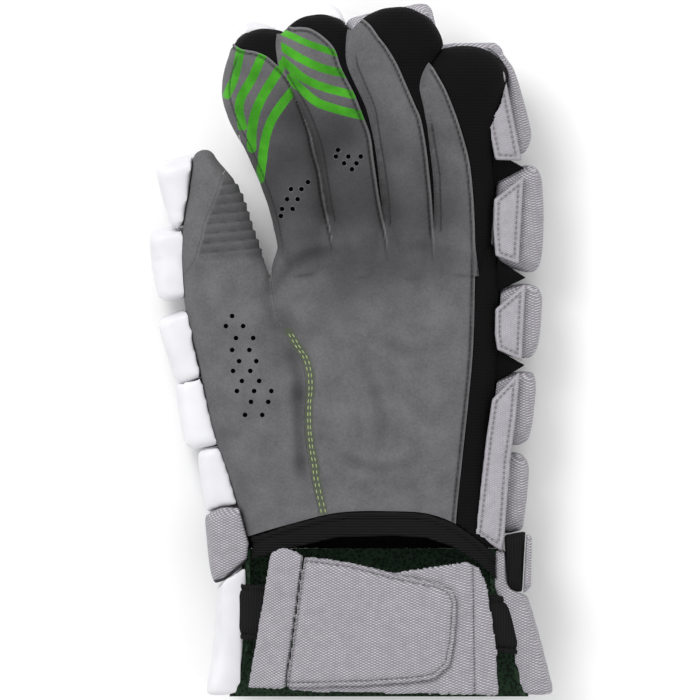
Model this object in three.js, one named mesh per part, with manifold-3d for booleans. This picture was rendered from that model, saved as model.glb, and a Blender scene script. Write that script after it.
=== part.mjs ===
// Lacrosse glove for the left hand, lying on its padded back with the palm up.
// Millimetres. X runs across the palm with the thumb at -X, Y runs from the cuff to the
// fingertips, and Z points out of the palm. The wrist line is at Y = 0 while the pieces are made.

import * as THREE from 'three';
import { mergeVertices } from 'three/addons/utils/BufferGeometryUtils.js';
import Module from 'manifold-3d';

const wasm = await Module();
wasm.setup();

// Hand
const PALM_LENGTH = 125;
const PALM_WIDTH = 110;
const HAND_DEPTH = 36;
const PALM_DIP = 3;
const WALL = 1.8;
const GAP = 0.3;

// Padding
const BACK_PAD = 12;
const FINGER_PAD = 9;
const THUMB_PAD = 13;
const SIDE_PAD_DEPTH = 30;
const FLAP_THICKNESS = 3;
const PAD_ROUND = 3;
const SIDE_ROUND = 4;
const FLAP_ROUND = 1;
const PAD_SPACE = 2;
const THUMB_SPACE = 0.8;
const FINGER_INSET = 1;
const THUMB_INSET = 6;

// Thumb
const THUMB_LENGTH = 168;
const THUMB_WIDTH = 44;
const THUMB_DEPTH = 31;

// Cuff
const CUFF_LENGTH = 68;
const CUFF_WIDTH = 118;
const CUFF_DEPTH = 38;
const CUFF_PAD = 12;
const LINER = 2;

// Wrist binding, strap and tabs
const BINDING_WIDTH = 11;
const BINDING_THICKNESS = 3;
const STRAP_THICKNESS = 2.4;
const STRAP_CLEARANCE = 1;
const ELASTIC_THICKNESS = 1.6;
const TAB_WIDTH = 27;
const TAB_THICKNESS = 2;
const HOLE_WIDTH = 3;
const TAB_ROUND = 1.5 * TAB_THICKNESS;

// Fineness of the faceted walls
const LIMB_SIDES = 12;
const HAND_SIDES = 20;
const LIMB_STEPS = 4;
const HAND_STEPS = 4;
const THUMB_STEPS = 5;
const CUFF_STEPS = 3;
const HOLE_SIDES = 6;
const UP = new THREE.Vector3(0, 0, 1);

const HAND_CENTRE = BACK_PAD + HAND_DEPTH / 2;

const material = (color, roughness) => new THREE.MeshStandardMaterial({ color, roughness, metalness: 0 });
const FINISH = {
  suede: [0x6c6c6e, 0.9],
  mesh: [0x141414, 0.85],
  white: [0xf0f0f0, 0.5],
  grey: [0xb9b7bd, 0.75],
  liner: [0x2a3a2c, 0.9],
  binding: [0x1c1c1c, 0.8],
};

// Solids

function closedGeometry(points, triangles) {
  const geometry = new THREE.BufferGeometry();
  const numbers = points.flatMap((point) => [point.x, point.y, point.z]);
  geometry.setAttribute('position', new THREE.Float32BufferAttribute(numbers, 3));
  geometry.setIndex(triangles);
  return geometry;
}

function solidOf(geometry) {
  const bare = geometry.clone();
  bare.deleteAttribute('normal');
  bare.deleteAttribute('uv');
  const merged = mergeVertices(bare, 1e-4);
  return new wasm.Manifold(new wasm.Mesh({
    numProp: 3,
    vertProperties: merged.attributes.position.array,
    triVerts: Uint32Array.from(merged.index.array),
  }));
}

// Rings of equal length, counter-clockwise seen from the end they start at, make a closed loft.
function loft(rings) {
  const count = rings[0].length;
  const points = rings.flat();
  const triangles = [];
  for (let row = 0; row < rings.length - 1; row++) {
    for (let k = 0; k < count; k++) {
      const a = row * count + k;
      const b = row * count + (k + 1) % count;
      triangles.push(a, b + count, b, a, a + count, b + count);
    }
  }
  const last = (rings.length - 1) * count;
  for (let k = 1; k < count - 1; k++) {
    triangles.push(0, k, k + 1);
    triangles.push(last, last + k + 1, last + k);
  }
  return solidOf(closedGeometry(points, triangles));
}

function unionOf(solids) {
  return solids.reduce((whole, solid) => whole.add(solid));
}

// An outline in plan, extruded straight up between two heights.
function prism(outline, low, high) {
  const shape = new THREE.Shape(outline.map(([x, y]) => new THREE.Vector2(x, y)));
  const geometry = new THREE.ExtrudeGeometry(shape, { depth: high - low, bevelEnabled: false });
  geometry.translate(0, 0, low);
  return solidOf(geometry);
}

// Limbs: tubes of superellipse sections along a curved spine

function makeLimb({ rows, power = 2.2, dome = 0, sides = LIMB_SIDES, dip = 0 }) {
  const place = new THREE.CatmullRomCurve3(rows.map((row) => new THREE.Vector3(row.x, row.y, row.z)));
  const size = new THREE.CatmullRomCurve3(rows.map((row) => new THREE.Vector3(row.half, row.depth, 0)));
  return { place, size, power, dome, sides, dip };
}

function frameAt(limb, t) {
  const inside = THREE.MathUtils.clamp(t, 0, 1);
  const along = limb.place.getTangent(inside);
  const centre = limb.place.getPoint(inside).addScaledVector(along, (t - inside) * limb.place.getLength());
  const side = new THREE.Vector3().crossVectors(along, UP).normalize();
  const up = new THREE.Vector3().crossVectors(side, along).normalize();
  const size = limb.size.getPoint(inside);
  return { centre, along, side, up, half: size.x, depth: size.y };
}

function onWall(limb, frame, angle, grow, shrink = 1) {
  const bend = 2 / limb.power;
  const cos = Math.cos(angle);
  const sin = Math.sin(angle);
  const across = Math.sign(cos) * Math.abs(cos) ** bend;
  const rise = Math.sign(sin) * Math.abs(sin) ** bend;
  const sag = limb.dip * Math.max(0, sin) * (1 - across * across);
  return frame.centre.clone()
    .addScaledVector(frame.side, across * (frame.half + grow) * shrink)
    .addScaledVector(frame.up, (rise * (frame.depth + grow) - sag) * shrink);
}

// The whole tube, with a domed end; negative growth gives the hollow inside it.
function tube(limb, { grow = 0, past = 0, steps = LIMB_STEPS, domeSteps = 2 }) {
  const rings = [];
  const angles = Array.from({ length: limb.sides }, (_, k) => (2 * Math.PI * k) / limb.sides);
  const addRing = (t) => {
    const frame = frameAt(limb, t);
    rings.push(angles.map((angle) => onWall(limb, frame, angle, grow)));
  };
  if (past > 0) addRing(-past);
  for (let step = 0; step <= steps; step++) addRing(step / steps);
  if (past > 0 && limb.dome === 0) addRing(1 + past);
  if (limb.dome > 0) {
    const end = frameAt(limb, 1);
    for (let step = 1; step <= domeSteps; step++) {
      const turn = (Math.PI / 2) * (step / (domeSteps + 0.25));
      const frame = { ...end, centre: end.centre.clone() };
      frame.centre.addScaledVector(end.along, (limb.dome + grow) * Math.sin(turn));
      rings.push(angles.map((angle) => onWall(limb, frame, angle, grow, Math.cos(turn))));
    }
  }
  return loft(rings);
}

// How far a wedge reaches past the tube's wall, as a share of the section
const REACH = 1.6;

// A wedge round the spine between two angles, which cuts a panel out of a tube's wall.
function wedge(limb, options) {
  const { start, stop, from = 0, to, spare = 0, steps = LIMB_STEPS, arcs = 4 } = options;
  const rings = [];
  for (let step = 0; step <= steps; step++) {
    const middle = frameAt(limb, from + ((to - from) * step) / steps);
    const slack = spare / middle.half;
    const first = start - slack;
    const final = stop + slack;
    const ring = [middle.centre];
    for (let arc = 0; arc <= arcs; arc++) {
      const angle = first + ((final - first) * arc) / arcs;
      ring.push(onWall(limb, middle, angle, spare, REACH));
    }
    rings.push(ring);
  }
  return loft(rings);
}

const degrees = THREE.MathUtils.degToRad;

// Hand: sections from the cuff end to the finger roots.
// Along is a share of the palm's length, centre and half of its width, depth of the hand's depth.
const HAND_ROWS = [
  { along: -0.3, centre: 0.11, half: 0.55, depth: 0.54 },
  { along: 0.0, centre: 0.092, half: 0.535, depth: 0.5 },
  { along: 0.35, centre: 0.088, half: 0.506, depth: 0.5 },
  { along: 0.6, centre: 0.125, half: 0.5, depth: 0.5 },
  { along: 0.82, centre: 0.145, half: 0.485, depth: 0.48 },
  { along: 1.0, centre: 0.164, half: 0.455, depth: 0.45 },
];
const ROOT_DOME = 0.11 * PALM_LENGTH;

const hand = makeLimb({
  rows: HAND_ROWS.map((row) => ({
    x: row.centre * PALM_WIDTH,
    y: row.along * PALM_LENGTH,
    z: HAND_CENTRE,
    half: row.half * PALM_WIDTH,
    depth: row.depth * HAND_DEPTH,
  })),
  power: 2.7,
  dome: ROOT_DOME,
  sides: HAND_SIDES,
  dip: PALM_DIP,
});

// Fingers. Along and across are shares of the finger's length from its root, half is a share of
// its width, depth of its depth and lift of its length. Front is the suede's outline in plan, in
// shares of the palm's width and length, which runs past the finger where the suede wraps its side.
const FINGERS = [
  {
    name: 'index',
    root: [-0.188, 1.016],
    length: 98,
    width: 37,
    depth: 32,
    dome: 0.17,
    front: [
      [-0.059, 0.795], [-0.502, 0.795], [-0.669, 1.163], [-0.669, 1.678], [-0.535, 1.759],
      [-0.456, 1.72], [-0.427, 1.715], [-0.389, 1.708], [-0.343, 1.689], [-0.309, 1.663],
      [-0.276, 1.634], [-0.243, 1.593], [-0.197, 1.498], [-0.163, 1.413], [-0.142, 1.328],
      [-0.123, 1.266], [-0.1, 1.144], [-0.071, 1.023], [-0.059, 0.935],
    ],
    rows: [
      { along: -0.16, across: 0.014, half: 0.33, depth: 0.47, lift: 0.0 },
      { along: 0.02, across: -0.009, half: 0.34, depth: 0.49, lift: 0.0 },
      { along: 0.21, across: -0.047, half: 0.36, depth: 0.49, lift: 0.01 },
      { along: 0.467, across: -0.121, half: 0.44, depth: 0.48, lift: 0.04 },
      { along: 0.7, across: -0.195, half: 0.52, depth: 0.46, lift: 0.1 },
      { along: 0.83, across: -0.172, half: 0.5, depth: 0.43, lift: 0.16 },
    ],
  },
  {
    name: 'middle',
    root: [0.046, 1.016],
    length: 107,
    width: 36,
    depth: 32,
    dome: 0.19,
    front: [
      [0.163, 0.795], [-0.209, 0.795], [-0.368, 1.531], [-0.397, 1.788], [-0.293, 1.833],
      [-0.247, 1.801], [-0.209, 1.8], [-0.171, 1.796], [-0.13, 1.777], [-0.084, 1.742],
      [-0.061, 1.713], [-0.038, 1.654], [0.021, 1.549], [0.054, 1.476], [0.084, 1.406],
      [0.1, 1.31], [0.125, 1.163], [0.163, 0.986],
    ],
    rows: [
      { along: -0.16, across: 0.004, half: 0.35, depth: 0.48, lift: 0.0 },
      { along: 0.02, across: 0.0, half: 0.36, depth: 0.5, lift: 0.0 },
      { along: 0.19, across: -0.026, half: 0.39, depth: 0.5, lift: 0.01 },
      { along: 0.415, across: -0.051, half: 0.43, depth: 0.49, lift: 0.05 },
      { along: 0.607, across: -0.107, half: 0.47, depth: 0.48, lift: 0.1 },
      { along: 0.79, across: -0.185, half: 0.55, depth: 0.45, lift: 0.18 },
    ],
  },
  {
    name: 'ring',
    root: [0.259, 1.016],
    length: 110,
    width: 38,
    depth: 32,
    dome: 0.2,
    front: [
      [0.355, 0.795], [0.163, 0.795], [0.084, 1.347], [-0.042, 1.641], [-0.105, 1.788],
      [-0.071, 1.869], [-0.004, 1.84], [0.046, 1.833], [0.084, 1.808], [0.121, 1.763],
      [0.151, 1.73], [0.197, 1.663], [0.234, 1.59], [0.276, 1.505], [0.293, 1.472],
      [0.314, 1.384], [0.335, 1.236], [0.355, 0.994],
    ],
    rows: [
      { along: -0.16, across: 0.0, half: 0.31, depth: 0.48, lift: 0.0 },
      { along: 0.02, across: 0.0, half: 0.32, depth: 0.5, lift: 0.0 },
      { along: 0.19, across: -0.004, half: 0.34, depth: 0.5, lift: 0.02 },
      { along: 0.418, across: -0.021, half: 0.39, depth: 0.49, lift: 0.06 },
      { along: 0.594, across: -0.034, half: 0.45, depth: 0.48, lift: 0.12 },
      { along: 0.787, across: -0.07, half: 0.6, depth: 0.45, lift: 0.2 },
    ],
  },
  {
    name: 'little',
    root: [0.476, 1.034],
    length: 88,
    width: 38,
    depth: 30,
    dome: 0.19,
    front: [
      [0.523, 0.795], [0.364, 0.795], [0.335, 1.2], [0.272, 1.457], [0.209, 1.623],
      [0.251, 1.696], [0.293, 1.656], [0.322, 1.671], [0.343, 1.656], [0.364, 1.627],
      [0.401, 1.568], [0.443, 1.476], [0.473, 1.395], [0.498, 1.31], [0.51, 1.229],
      [0.519, 1.126], [0.523, 1.016],
    ],
    rows: [
      { along: -0.2, across: -0.02, half: 0.33, depth: 0.5, lift: 0.0 },
      { along: 0.0, across: 0.0, half: 0.35, depth: 0.51, lift: 0.01 },
      { along: 0.314, across: 0.005, half: 0.38, depth: 0.5, lift: 0.05 },
      { along: 0.602, across: -0.005, half: 0.46, depth: 0.5, lift: 0.13 },
      { along: 0.81, across: -0.012, half: 0.57, depth: 0.47, lift: 0.22 },
    ],
  },
];

function fingerLimb(finger) {
  const [rootX, rootY] = finger.root;
  return makeLimb({
    rows: finger.rows.map((row) => ({
      x: rootX * PALM_WIDTH + row.across * finger.length,
      y: rootY * PALM_LENGTH + row.along * finger.length,
      z: HAND_CENTRE + row.lift * finger.length,
      half: row.half * finger.width,
      depth: row.depth * finger.depth,
    })),
    dome: finger.dome * finger.length,
  });
}

// Thumb, from the wrist to its tip, with shares of its own length, width and depth.
const THUMB_ROOT = [-0.32, 0.0];
const THUMB_ROWS = [
  { along: -0.1, across: 0.01, half: 0.3, depth: 0.46, lift: 0.0 },
  { along: 0.0, across: 0.0, half: 0.34, depth: 0.47, lift: 0.0 },
  { along: 0.137, across: -0.016, half: 0.43, depth: 0.49, lift: 0.0 },
  { along: 0.274, across: -0.044, half: 0.5, depth: 0.5, lift: 0.0 },
  { along: 0.44, across: -0.074, half: 0.51, depth: 0.5, lift: 0.0 },
  { along: 0.6, across: -0.123, half: 0.47, depth: 0.48, lift: 0.005 },
  { along: 0.74, across: -0.148, half: 0.41, depth: 0.45, lift: 0.015 },
  { along: 0.87, across: -0.161, half: 0.29, depth: 0.38, lift: 0.032 },
  { along: 0.975, across: -0.19, half: 0.12, depth: 0.24, lift: 0.045 },
];

const thumb = makeLimb({
  rows: THUMB_ROWS.map((row) => ({
    x: THUMB_ROOT[0] * PALM_WIDTH + row.across * THUMB_LENGTH,
    y: THUMB_ROOT[1] * PALM_LENGTH + row.along * THUMB_LENGTH,
    z: HAND_CENTRE + row.lift * THUMB_LENGTH,
    half: row.half * THUMB_WIDTH,
    depth: row.depth * THUMB_DEPTH,
  })),
  dome: 0.028 * THUMB_LENGTH,
});

const fingers = FINGERS.map((finger) => ({ ...finger, limb: fingerLimb(finger) }));

// Outlines. Across is a share of the palm's width, along of its length, from the wrist's middle.

const onPalm = (points) => points.map(([across, along]) => [across * PALM_WIDTH, along * PALM_LENGTH]);
const onThumb = (points) => points.map(([across, along]) => [
  THUMB_ROOT[0] * PALM_WIDTH + across * THUMB_LENGTH,
  THUMB_ROOT[1] * PALM_LENGTH + along * THUMB_LENGTH,
]);

const FAR = 1.2 * PALM_LENGTH;
const TALL = 2.5 * HAND_DEPTH;
const OPEN_END = 0.05;

// The wrist edge of the palm, arched up in its middle
const WRIST_EDGE = onPalm([
  [-0.75, -0.17],
  [-0.4, -0.07],
  [-0.243, -0.03],
  [-0.05, 0.01],
  [0.19, 0.015],
  [0.32, 0.007],
  [0.43, -0.026],
  [0.523, -0.078],
  [0.66, -0.18],
]);
// The seam between the palm and the thumb panel, then on through the gap beside the index finger
const THUMB_SEAM = onPalm([
  [-0.11, -0.3],
  [-0.13, 0.007],
  [-0.159, 0.132],
  [-0.192, 0.339],
  [-0.184, 0.464],
  [-0.205, 0.581],
  [-0.276, 0.677],
  [-0.326, 0.828],
  [-0.33, 0.94],
  [-0.39, 1.16],
  [-0.47, 1.42],
]);
// The seam that parts the thumb's tip panel from its grip
const TIP_SEAM = onThumb([
  [-0.092, 0.975],
  [-0.133, 0.945],
  [-0.16, 0.873],
  [-0.19, 0.802],
  [-0.201, 0.753],
  [-0.223, 0.69],
  [-0.262, 0.645],
]);

// The region to the left of a line that runs up the glove
function leftOf(line, shift) {
  const moved = line.map(([x, y]) => [x - shift, y]);
  const [bottom, top] = [moved[0][1], moved[moved.length - 1][1]];
  return prism([...moved, [-FAR, top], [-FAR, bottom]], 0, TALL);
}

function below(line, shift) {
  const moved = line.map(([x, y]) => [x, y + shift]);
  return prism([[-FAR, -FAR], [FAR, -FAR], [FAR, moved[moved.length - 1][1]], ...moved.reverse(),
    [-FAR, moved[moved.length - 1][1]]], 0, TALL);
}

const block = ([x0, x1], [y0, y1], [z0, z1]) => prism([[x0, y0], [x1, y0], [x1, y1], [x0, y1]], z0, z1);

// Whole walls of the hand, thumb and fingers, hollow and open into each other and at the wrist

const handTube = (grow, past = 0) => tube(hand, { grow, past, steps: HAND_STEPS });
const thumbTube = (grow, past = 0) => tube(thumb, { grow, past, steps: THUMB_STEPS });

const handOuter = handTube(0);
const handGrown = handTube(GAP);
const handInner = handTube(-WALL, OPEN_END);
const thumbInner = thumbTube(-WALL, OPEN_END);
const thumbGrown = thumbTube(GAP);
const fingerOuter = fingers.map((finger) => tube(finger.limb, {}));
const fingerInner = fingers.map((finger) => tube(finger.limb, { grow: -WALL }));
const fingerGrown = fingers.map((finger) => tube(finger.limb, { grow: GAP }));

const without = (solid, others) => others.reduce((rest, other) => rest.subtract(other), solid);
const handShell = without(handOuter, [handInner, thumbInner, ...fingerInner]);
const thumbShell = without(thumbTube(0), [thumbInner, handInner]);
const fingerShell = fingers.map((finger, k) => without(fingerOuter[k],
  [fingerInner[k], handInner, ...fingerGrown.slice(k + 1, k + 2)]));

// Front regions that the suede covers

const FINGER_FRONT = [degrees(0), degrees(188)];
const HAND_FRONT = [degrees(38), degrees(180)];
const HAND_SIDE = [degrees(-14), degrees(38)];
const THUMB_FRONT = [degrees(-14), degrees(186)];
const CUFF_TOP = -0.12 * PALM_LENGTH;

// An outline moved outwards by a distance; it runs counter-clockwise
function widened(outline, distance) {
  return outline.map(([x, y], k) => {
    const [fromX, fromY] = outline[(k + outline.length - 1) % outline.length];
    const [toX, toY] = outline[(k + 1) % outline.length];
    const [alongX, alongY] = [toX - fromX, toY - fromY];
    const share = distance / Math.hypot(alongX, alongY);
    return [x + alongY * share, y - alongX * share];
  });
}

const fingerFront = (finger, spare) => wedge(finger.limb, {
  start: FINGER_FRONT[0], stop: FINGER_FRONT[1], from: -0.1, to: 1.4, spare,
}).intersect(prism(widened(onPalm(finger.front).reverse(), spare), 0, TALL));
const handWedge = ([start, stop], spare) => wedge(hand, {
  start, stop, spare, from: -0.1, to: 1.2, steps: HAND_STEPS,
});
const thumbWedge = (spare) => wedge(thumb, {
  start: THUMB_FRONT[0], stop: THUMB_FRONT[1], spare, from: -0.1, to: 1.2, steps: THUMB_STEPS,
});

const suede = unionOf([
  handShell.intersect(handWedge(HAND_FRONT, 0)),
  thumbShell.intersect(thumbWedge(0)),
  ...fingers.map((finger, k) => fingerShell[k].intersect(fingerFront(finger, 0))),
]).subtract(below(WRIST_EDGE, GAP));

// Pieces of the model

const group = new THREE.Group();

// A cut can leave loose scraps, so each piece keeps its main body.
function addPiece(name, solid, finish) {
  const bodies = solid.decompose().sort((one, other) => other.volume() - one.volume());
  const mesh = bodies[0].getMesh();
  const geometry = new THREE.BufferGeometry();
  geometry.setAttribute('position', new THREE.BufferAttribute(mesh.vertProperties, 3));
  geometry.setIndex(new THREE.BufferAttribute(mesh.triVerts, 1));
  geometry.computeVertexNormals();
  const piece = new THREE.Mesh(geometry, material(...FINISH[finish]));
  piece.name = name;
  group.add(piece);
}

// Air holes through the suede, in rows of a few: across and along as for the outlines
const HOLE_FIELDS = [
  {
    pitch: 0.072,
    rows: [
      { across: -0.493, along: 0.736, count: 1 }, { across: -0.519, along: 0.699, count: 2 },
      { across: -0.477, along: 0.655, count: 2 }, { across: -0.493, along: 0.611, count: 2 },
      { across: -0.464, along: 0.57, count: 2 }, { across: -0.489, along: 0.534, count: 2 },
      { across: -0.452, along: 0.497, count: 2 }, { across: -0.473, along: 0.46, count: 3 },
      { across: -0.414, along: 0.42, count: 2 }, { across: -0.439, along: 0.372, count: 2 },
    ],
  },
  {
    pitch: 0.044,
    rows: [
      { across: -0.176, along: 1.229, count: 1 }, { across: -0.247, along: 1.203, count: 2 },
      { across: -0.263, along: 1.166, count: 2 }, { across: -0.284, along: 1.13, count: 2 },
      { across: -0.289, along: 1.104, count: 1 },
    ],
  },
  {
    pitch: 0.052,
    rows: [
      { across: -0.05, along: 1.347, count: 1 }, { across: -0.059, along: 1.323, count: 3 },
      { across: -0.025, along: 1.298, count: 2 }, { across: 0.008, along: 1.276, count: 1 },
    ],
  },
];
function holeCutters({ pitch, rows }) {
  return rows.flatMap(({ across, along, count }) => Array.from({ length: count }, (_, k) => {
    const [[x, y]] = onPalm([[across + k * pitch, along]]);
    const cutter = new THREE.CylinderGeometry(HOLE_WIDTH / 2, HOLE_WIDTH / 2, TALL, HOLE_SIDES);
    cutter.rotateX(degrees(90)).translate(x, y, HAND_CENTRE + TALL / 2);
    return solidOf(cutter);
  }));
}

// Suede panels
const pierced = without(suede, HOLE_FIELDS.flatMap(holeCutters));
const thumbSuede = pierced.intersect(leftOf(THUMB_SEAM, GAP));
addPiece('palm_panel', pierced.subtract(leftOf(THUMB_SEAM, 0)), 'suede');
addPiece('thumb_panel', thumbSuede.subtract(leftOf(TIP_SEAM, 0)), 'suede');
addPiece('thumb_tip_panel', thumbSuede.intersect(leftOf(TIP_SEAM, GAP)), 'suede');

// Padding

// A pad is an outline with soft lower and upper edges, stacked between two heights.
// The outline runs counter-clockwise in plan, and place turns its points into the glove's frame.
const ROUND_SLOPE = 1.4;

function pad(outline, low, high, place, soft = PAD_ROUND) {
  const mean = (axis) => outline.reduce((sum, point) => sum + point[axis], 0) / outline.length;
  const centre = [mean(0), mean(1)];
  const reach = Math.max(...outline.map(([x, y]) => Math.hypot(x - centre[0], y - centre[1])));
  const inset = (depth) => outline.map(([x, y]) => {
    const share = 1 - (depth * ROUND_SLOPE) / reach;
    return [centre[0] + (x - centre[0]) * share, centre[1] + (y - centre[1]) * share];
  });
  const levels = [[low, soft], [low + soft, 0], [high - soft, 0], [high, soft]];
  return loft(levels.map(([height, depth]) => inset(depth).reverse().map(([x, y]) => place(x, y, height))));
}

// A rectangle with cut corners round a centre
function rounded(x0, x1, y0, y1, corner = PAD_ROUND) {
  return [
    [x0 + corner, y0], [x1 - corner, y0], [x1, y0 + corner], [x1, y1 - corner],
    [x1 - corner, y1], [x0 + corner, y1], [x0, y1 - corner], [x0, y0 + corner],
  ];
}

const upright = (x, y, z) => new THREE.Vector3(x, y, z);
const floor = block([-FAR, FAR], [-FAR, 2 * FAR], [0, TALL]);

// Pads on a limb's back: stations are the pads' ends along the limb, left and right go past its
// sides, and wrap is how far they come up them. Each is parted from the one before it.
function limbPads(limb, { stations, space = PAD_SPACE, thickness, left, right, wrap, spare = 0 }) {
  return stations.slice(1).map((stop, k) => {
    const start = stations[k];
    const frame = frameAt(limb, (start + stop) / 2);
    const span = frameAt(limb, stop).centre.distanceTo(frameAt(limb, start).centre);
    const reach = (span - space) / 2 + spare;
    const place = (x, y, z) => frame.centre.clone()
      .addScaledVector(frame.side, x).addScaledVector(frame.along, y).addScaledVector(frame.up, z);
    const outline = rounded(-frame.half - left - spare, frame.half + right + spare, -reach, reach);
    return pad(outline, -frame.depth - thickness - spare, wrap * frame.depth + spare, place);
  });
}

// Side pads along the little finger's edge, the flaps stitched on them and the webs between them
const FLAPS = [
  [[0.644, 1.644], [0.569, 1.472], [0.607, 1.31], [0.72, 1.306]],
  [[0.728, 1.255], [0.602, 1.167], [0.598, 1.064], [0.607, 0.957], [0.707, 0.924]],
  [[0.736, 0.861], [0.607, 0.762], [0.605, 0.67], [0.615, 0.611], [0.719, 0.57]],
  [
    [0.711, 0.537], [0.594, 0.431], [0.569, 0.283], [0.523, -0.07], [0.636, -0.132],
    [0.648, -0.063], [0.669, 0.2], [0.695, 0.364],
  ],
];
const SIDE_PADS = [
  [
    [0.539, 1.72], [0.585, 1.74], [0.632, 1.722], [0.69, 1.641], [0.736, 1.498],
    [0.765, 1.398], [0.736, 1.332], [0.63, 1.31], [0.55, 1.45],
  ],
  [
    [0.736, 1.299], [0.778, 1.288], [0.803, 1.258], [0.812, 1.13], [0.807, 0.964],
    [0.79, 0.905], [0.749, 0.89], [0.6, 0.93], [0.6, 1.24],
  ],
  [
    [0.74, 0.861], [0.786, 0.846], [0.807, 0.813], [0.794, 0.644], [0.773, 0.585],
    [0.72, 0.575], [0.6, 0.6], [0.6, 0.84],
  ],
  [
    [0.719, 0.537], [0.773, 0.53], [0.782, 0.489], [0.765, 0.339], [0.749, 0.276],
    [0.694, 0.254], [0.56, 0.28], [0.56, 0.51],
  ],
  [
    [0.694, 0.243], [0.74, 0.217], [0.753, 0.177], [0.724, -0.055], [0.64, -0.07],
    [0.56, -0.03], [0.56, 0.21],
  ],
];
const FINGER_WEB = [[0.56, 1.2], [0.73, 1.281], [0.56, 1.36]];
const PALM_WEBS = [
  [[0.56, 0.8], [0.735, 0.877], [0.56, 0.98]],
  [[0.56, 0.46], [0.73, 0.555], [0.56, 0.64]],
];
const SIDE_TOP = 0.62 * HAND_DEPTH + BACK_PAD;
const WEB_TOP = SIDE_TOP - WALL / 2;
const WEB_ROUND = 0.2 * WALL;
const RISE_START = 1.1 * PALM_LENGTH;
const RISE = 0.24;
const lifted = (x, y, z) => new THREE.Vector3(x, y, z + Math.max(0, y - RISE_START) * RISE);
const sidePad = (points, spare) => pad(widened(onPalm(points).reverse(), spare),
  SIDE_TOP - SIDE_PAD_DEPTH - spare, SIDE_TOP + spare, lifted, SIDE_ROUND);
const sidePadsGrown = SIDE_PADS.map((points) => sidePad(points, GAP));
const webPlate = (points) => pad(onPalm(points), WEB_TOP - WALL, WEB_TOP, lifted, WEB_ROUND);
const web = (points) => without(webPlate(points), sidePadsGrown);

// Black mesh and the back's liner
fingers.forEach((finger, k) => {
  const bare = without(fingerShell[k], [fingerFront(finger, GAP), handGrown]);
  const last = k === fingers.length - 1;
  const gusset = last ? bare.add(web(FINGER_WEB).subtract(fingerInner[k])) : bare;
  addPiece(`${finger.name}_gusset`, gusset, 'mesh');
});
const belowHand = block([-FAR, FAR], [-FAR, CUFF_TOP + GAP], [0, TALL]);
const sideStrip = without(handShell.intersect(handWedge(HAND_SIDE, -2 * GAP)),
  [below(WRIST_EDGE, GAP), belowHand]);
const palmWebs = without(unionOf(PALM_WEBS.map(web)), [handInner]);
addPiece('palm_side_gusset', sideStrip.add(palmWebs), 'mesh');
const fingerFrontWalls = fingers.map((finger, k) => fingerGrown[k].intersect(fingerFront(finger, GAP)));
const backWall = without(handShell.add(thumbShell),
  [handWedge([HAND_SIDE[0], HAND_FRONT[1]], GAP), thumbWedge(GAP), belowHand, ...fingerFrontWalls]);
addPiece('back_shell', backWall, 'mesh');

const tubesGrown = [handGrown, thumbGrown, ...fingerGrown];
const seated = (solid, others = []) => without(solid, [...tubesGrown, ...others]).intersect(floor);

// Webbing tabs folded round the two ends of the wrist
const TAB_LEFT = [[-0.606, 0.004], [-0.585, -0.21], [-0.569, -0.25], [-0.523, -0.24], [-0.418, -0.162],
  [-0.409, -0.103], [-0.452, 0.033], [-0.539, 0.033]];
const TAB_RIGHT = [[0.644, -0.07], [0.661, -0.276], [0.72, -0.28], [0.734, -0.055]];
const TAB_TRIM = [[0.738, -0.059], [0.724, -0.286], [0.757, -0.262], [0.761, -0.078]];
const TAB_BASE = 0.06 * HAND_DEPTH + BACK_PAD;
const tab = (points, spare = 0) => {
  const grown = pad(onPalm(points), TAB_BASE - spare, TAB_BASE + TAB_WIDTH + spare, upright, TAB_ROUND);
  return spare > 0 ? unionOf([grown, ...[[1, 0], [-1, 0], [0, 1], [0, -1]].map(([x, y]) => (
    grown.translate([x * spare, y * spare, 0])))]) : grown;
};
const tabsGrown = [tab(TAB_LEFT, GAP), tab(TAB_RIGHT, GAP), tab(TAB_TRIM, GAP)];

// Finger pads: three to a finger, parted where the finger bends, each clear of the next finger's
const FINGER_STATIONS = [0.3, 0.56, 0.8, 1.13];
const FINGER_WRAP = -0.1;
const fingerPads = (finger, spare) => limbPads(finger.limb, {
  stations: FINGER_STATIONS,
  thickness: FINGER_PAD,
  left: -FINGER_INSET,
  right: -FINGER_INSET,
  wrap: FINGER_WRAP,
  spare,
});
const fingerPadsGrown = fingers.map((finger) => fingerPads(finger, GAP));
const FINGER_FINISH = { index: 'white', middle: 'white', ring: 'grey', little: 'grey' };
fingers.forEach((finger, row) => fingerPads(finger, 0).forEach((solid, k) => {
  const next = [...fingerPadsGrown[row].slice(k + 1), ...(fingerPadsGrown[row + 1] ?? [])];
  addPiece(`${finger.name}_pad_${k + 1}`, seated(solid, next), FINGER_FINISH[finger.name]);
}));

// Thumb pads wrap its outer side
const THUMB_STATIONS = [0.147, 0.323, 0.483, 0.63, 0.81, 1.015];
const THUMB_SHARE = 0.7;
const THUMB_WRAP = 0.35;
const thumbPads = (spare) => limbPads(thumb, {
  stations: THUMB_STATIONS,
  space: THUMB_SPACE,
  thickness: THUMB_PAD * THUMB_SHARE,
  left: THUMB_PAD,
  right: -THUMB_INSET,
  wrap: THUMB_WRAP,
  spare,
});
const thumbPadsGrown = thumbPads(GAP);
thumbPads(0).forEach((solid, k) => {
  addPiece(`thumb_pad_${k + 1}`, seated(solid, [...thumbPadsGrown.slice(k + 1), ...tabsGrown]), 'white');
});

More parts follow.
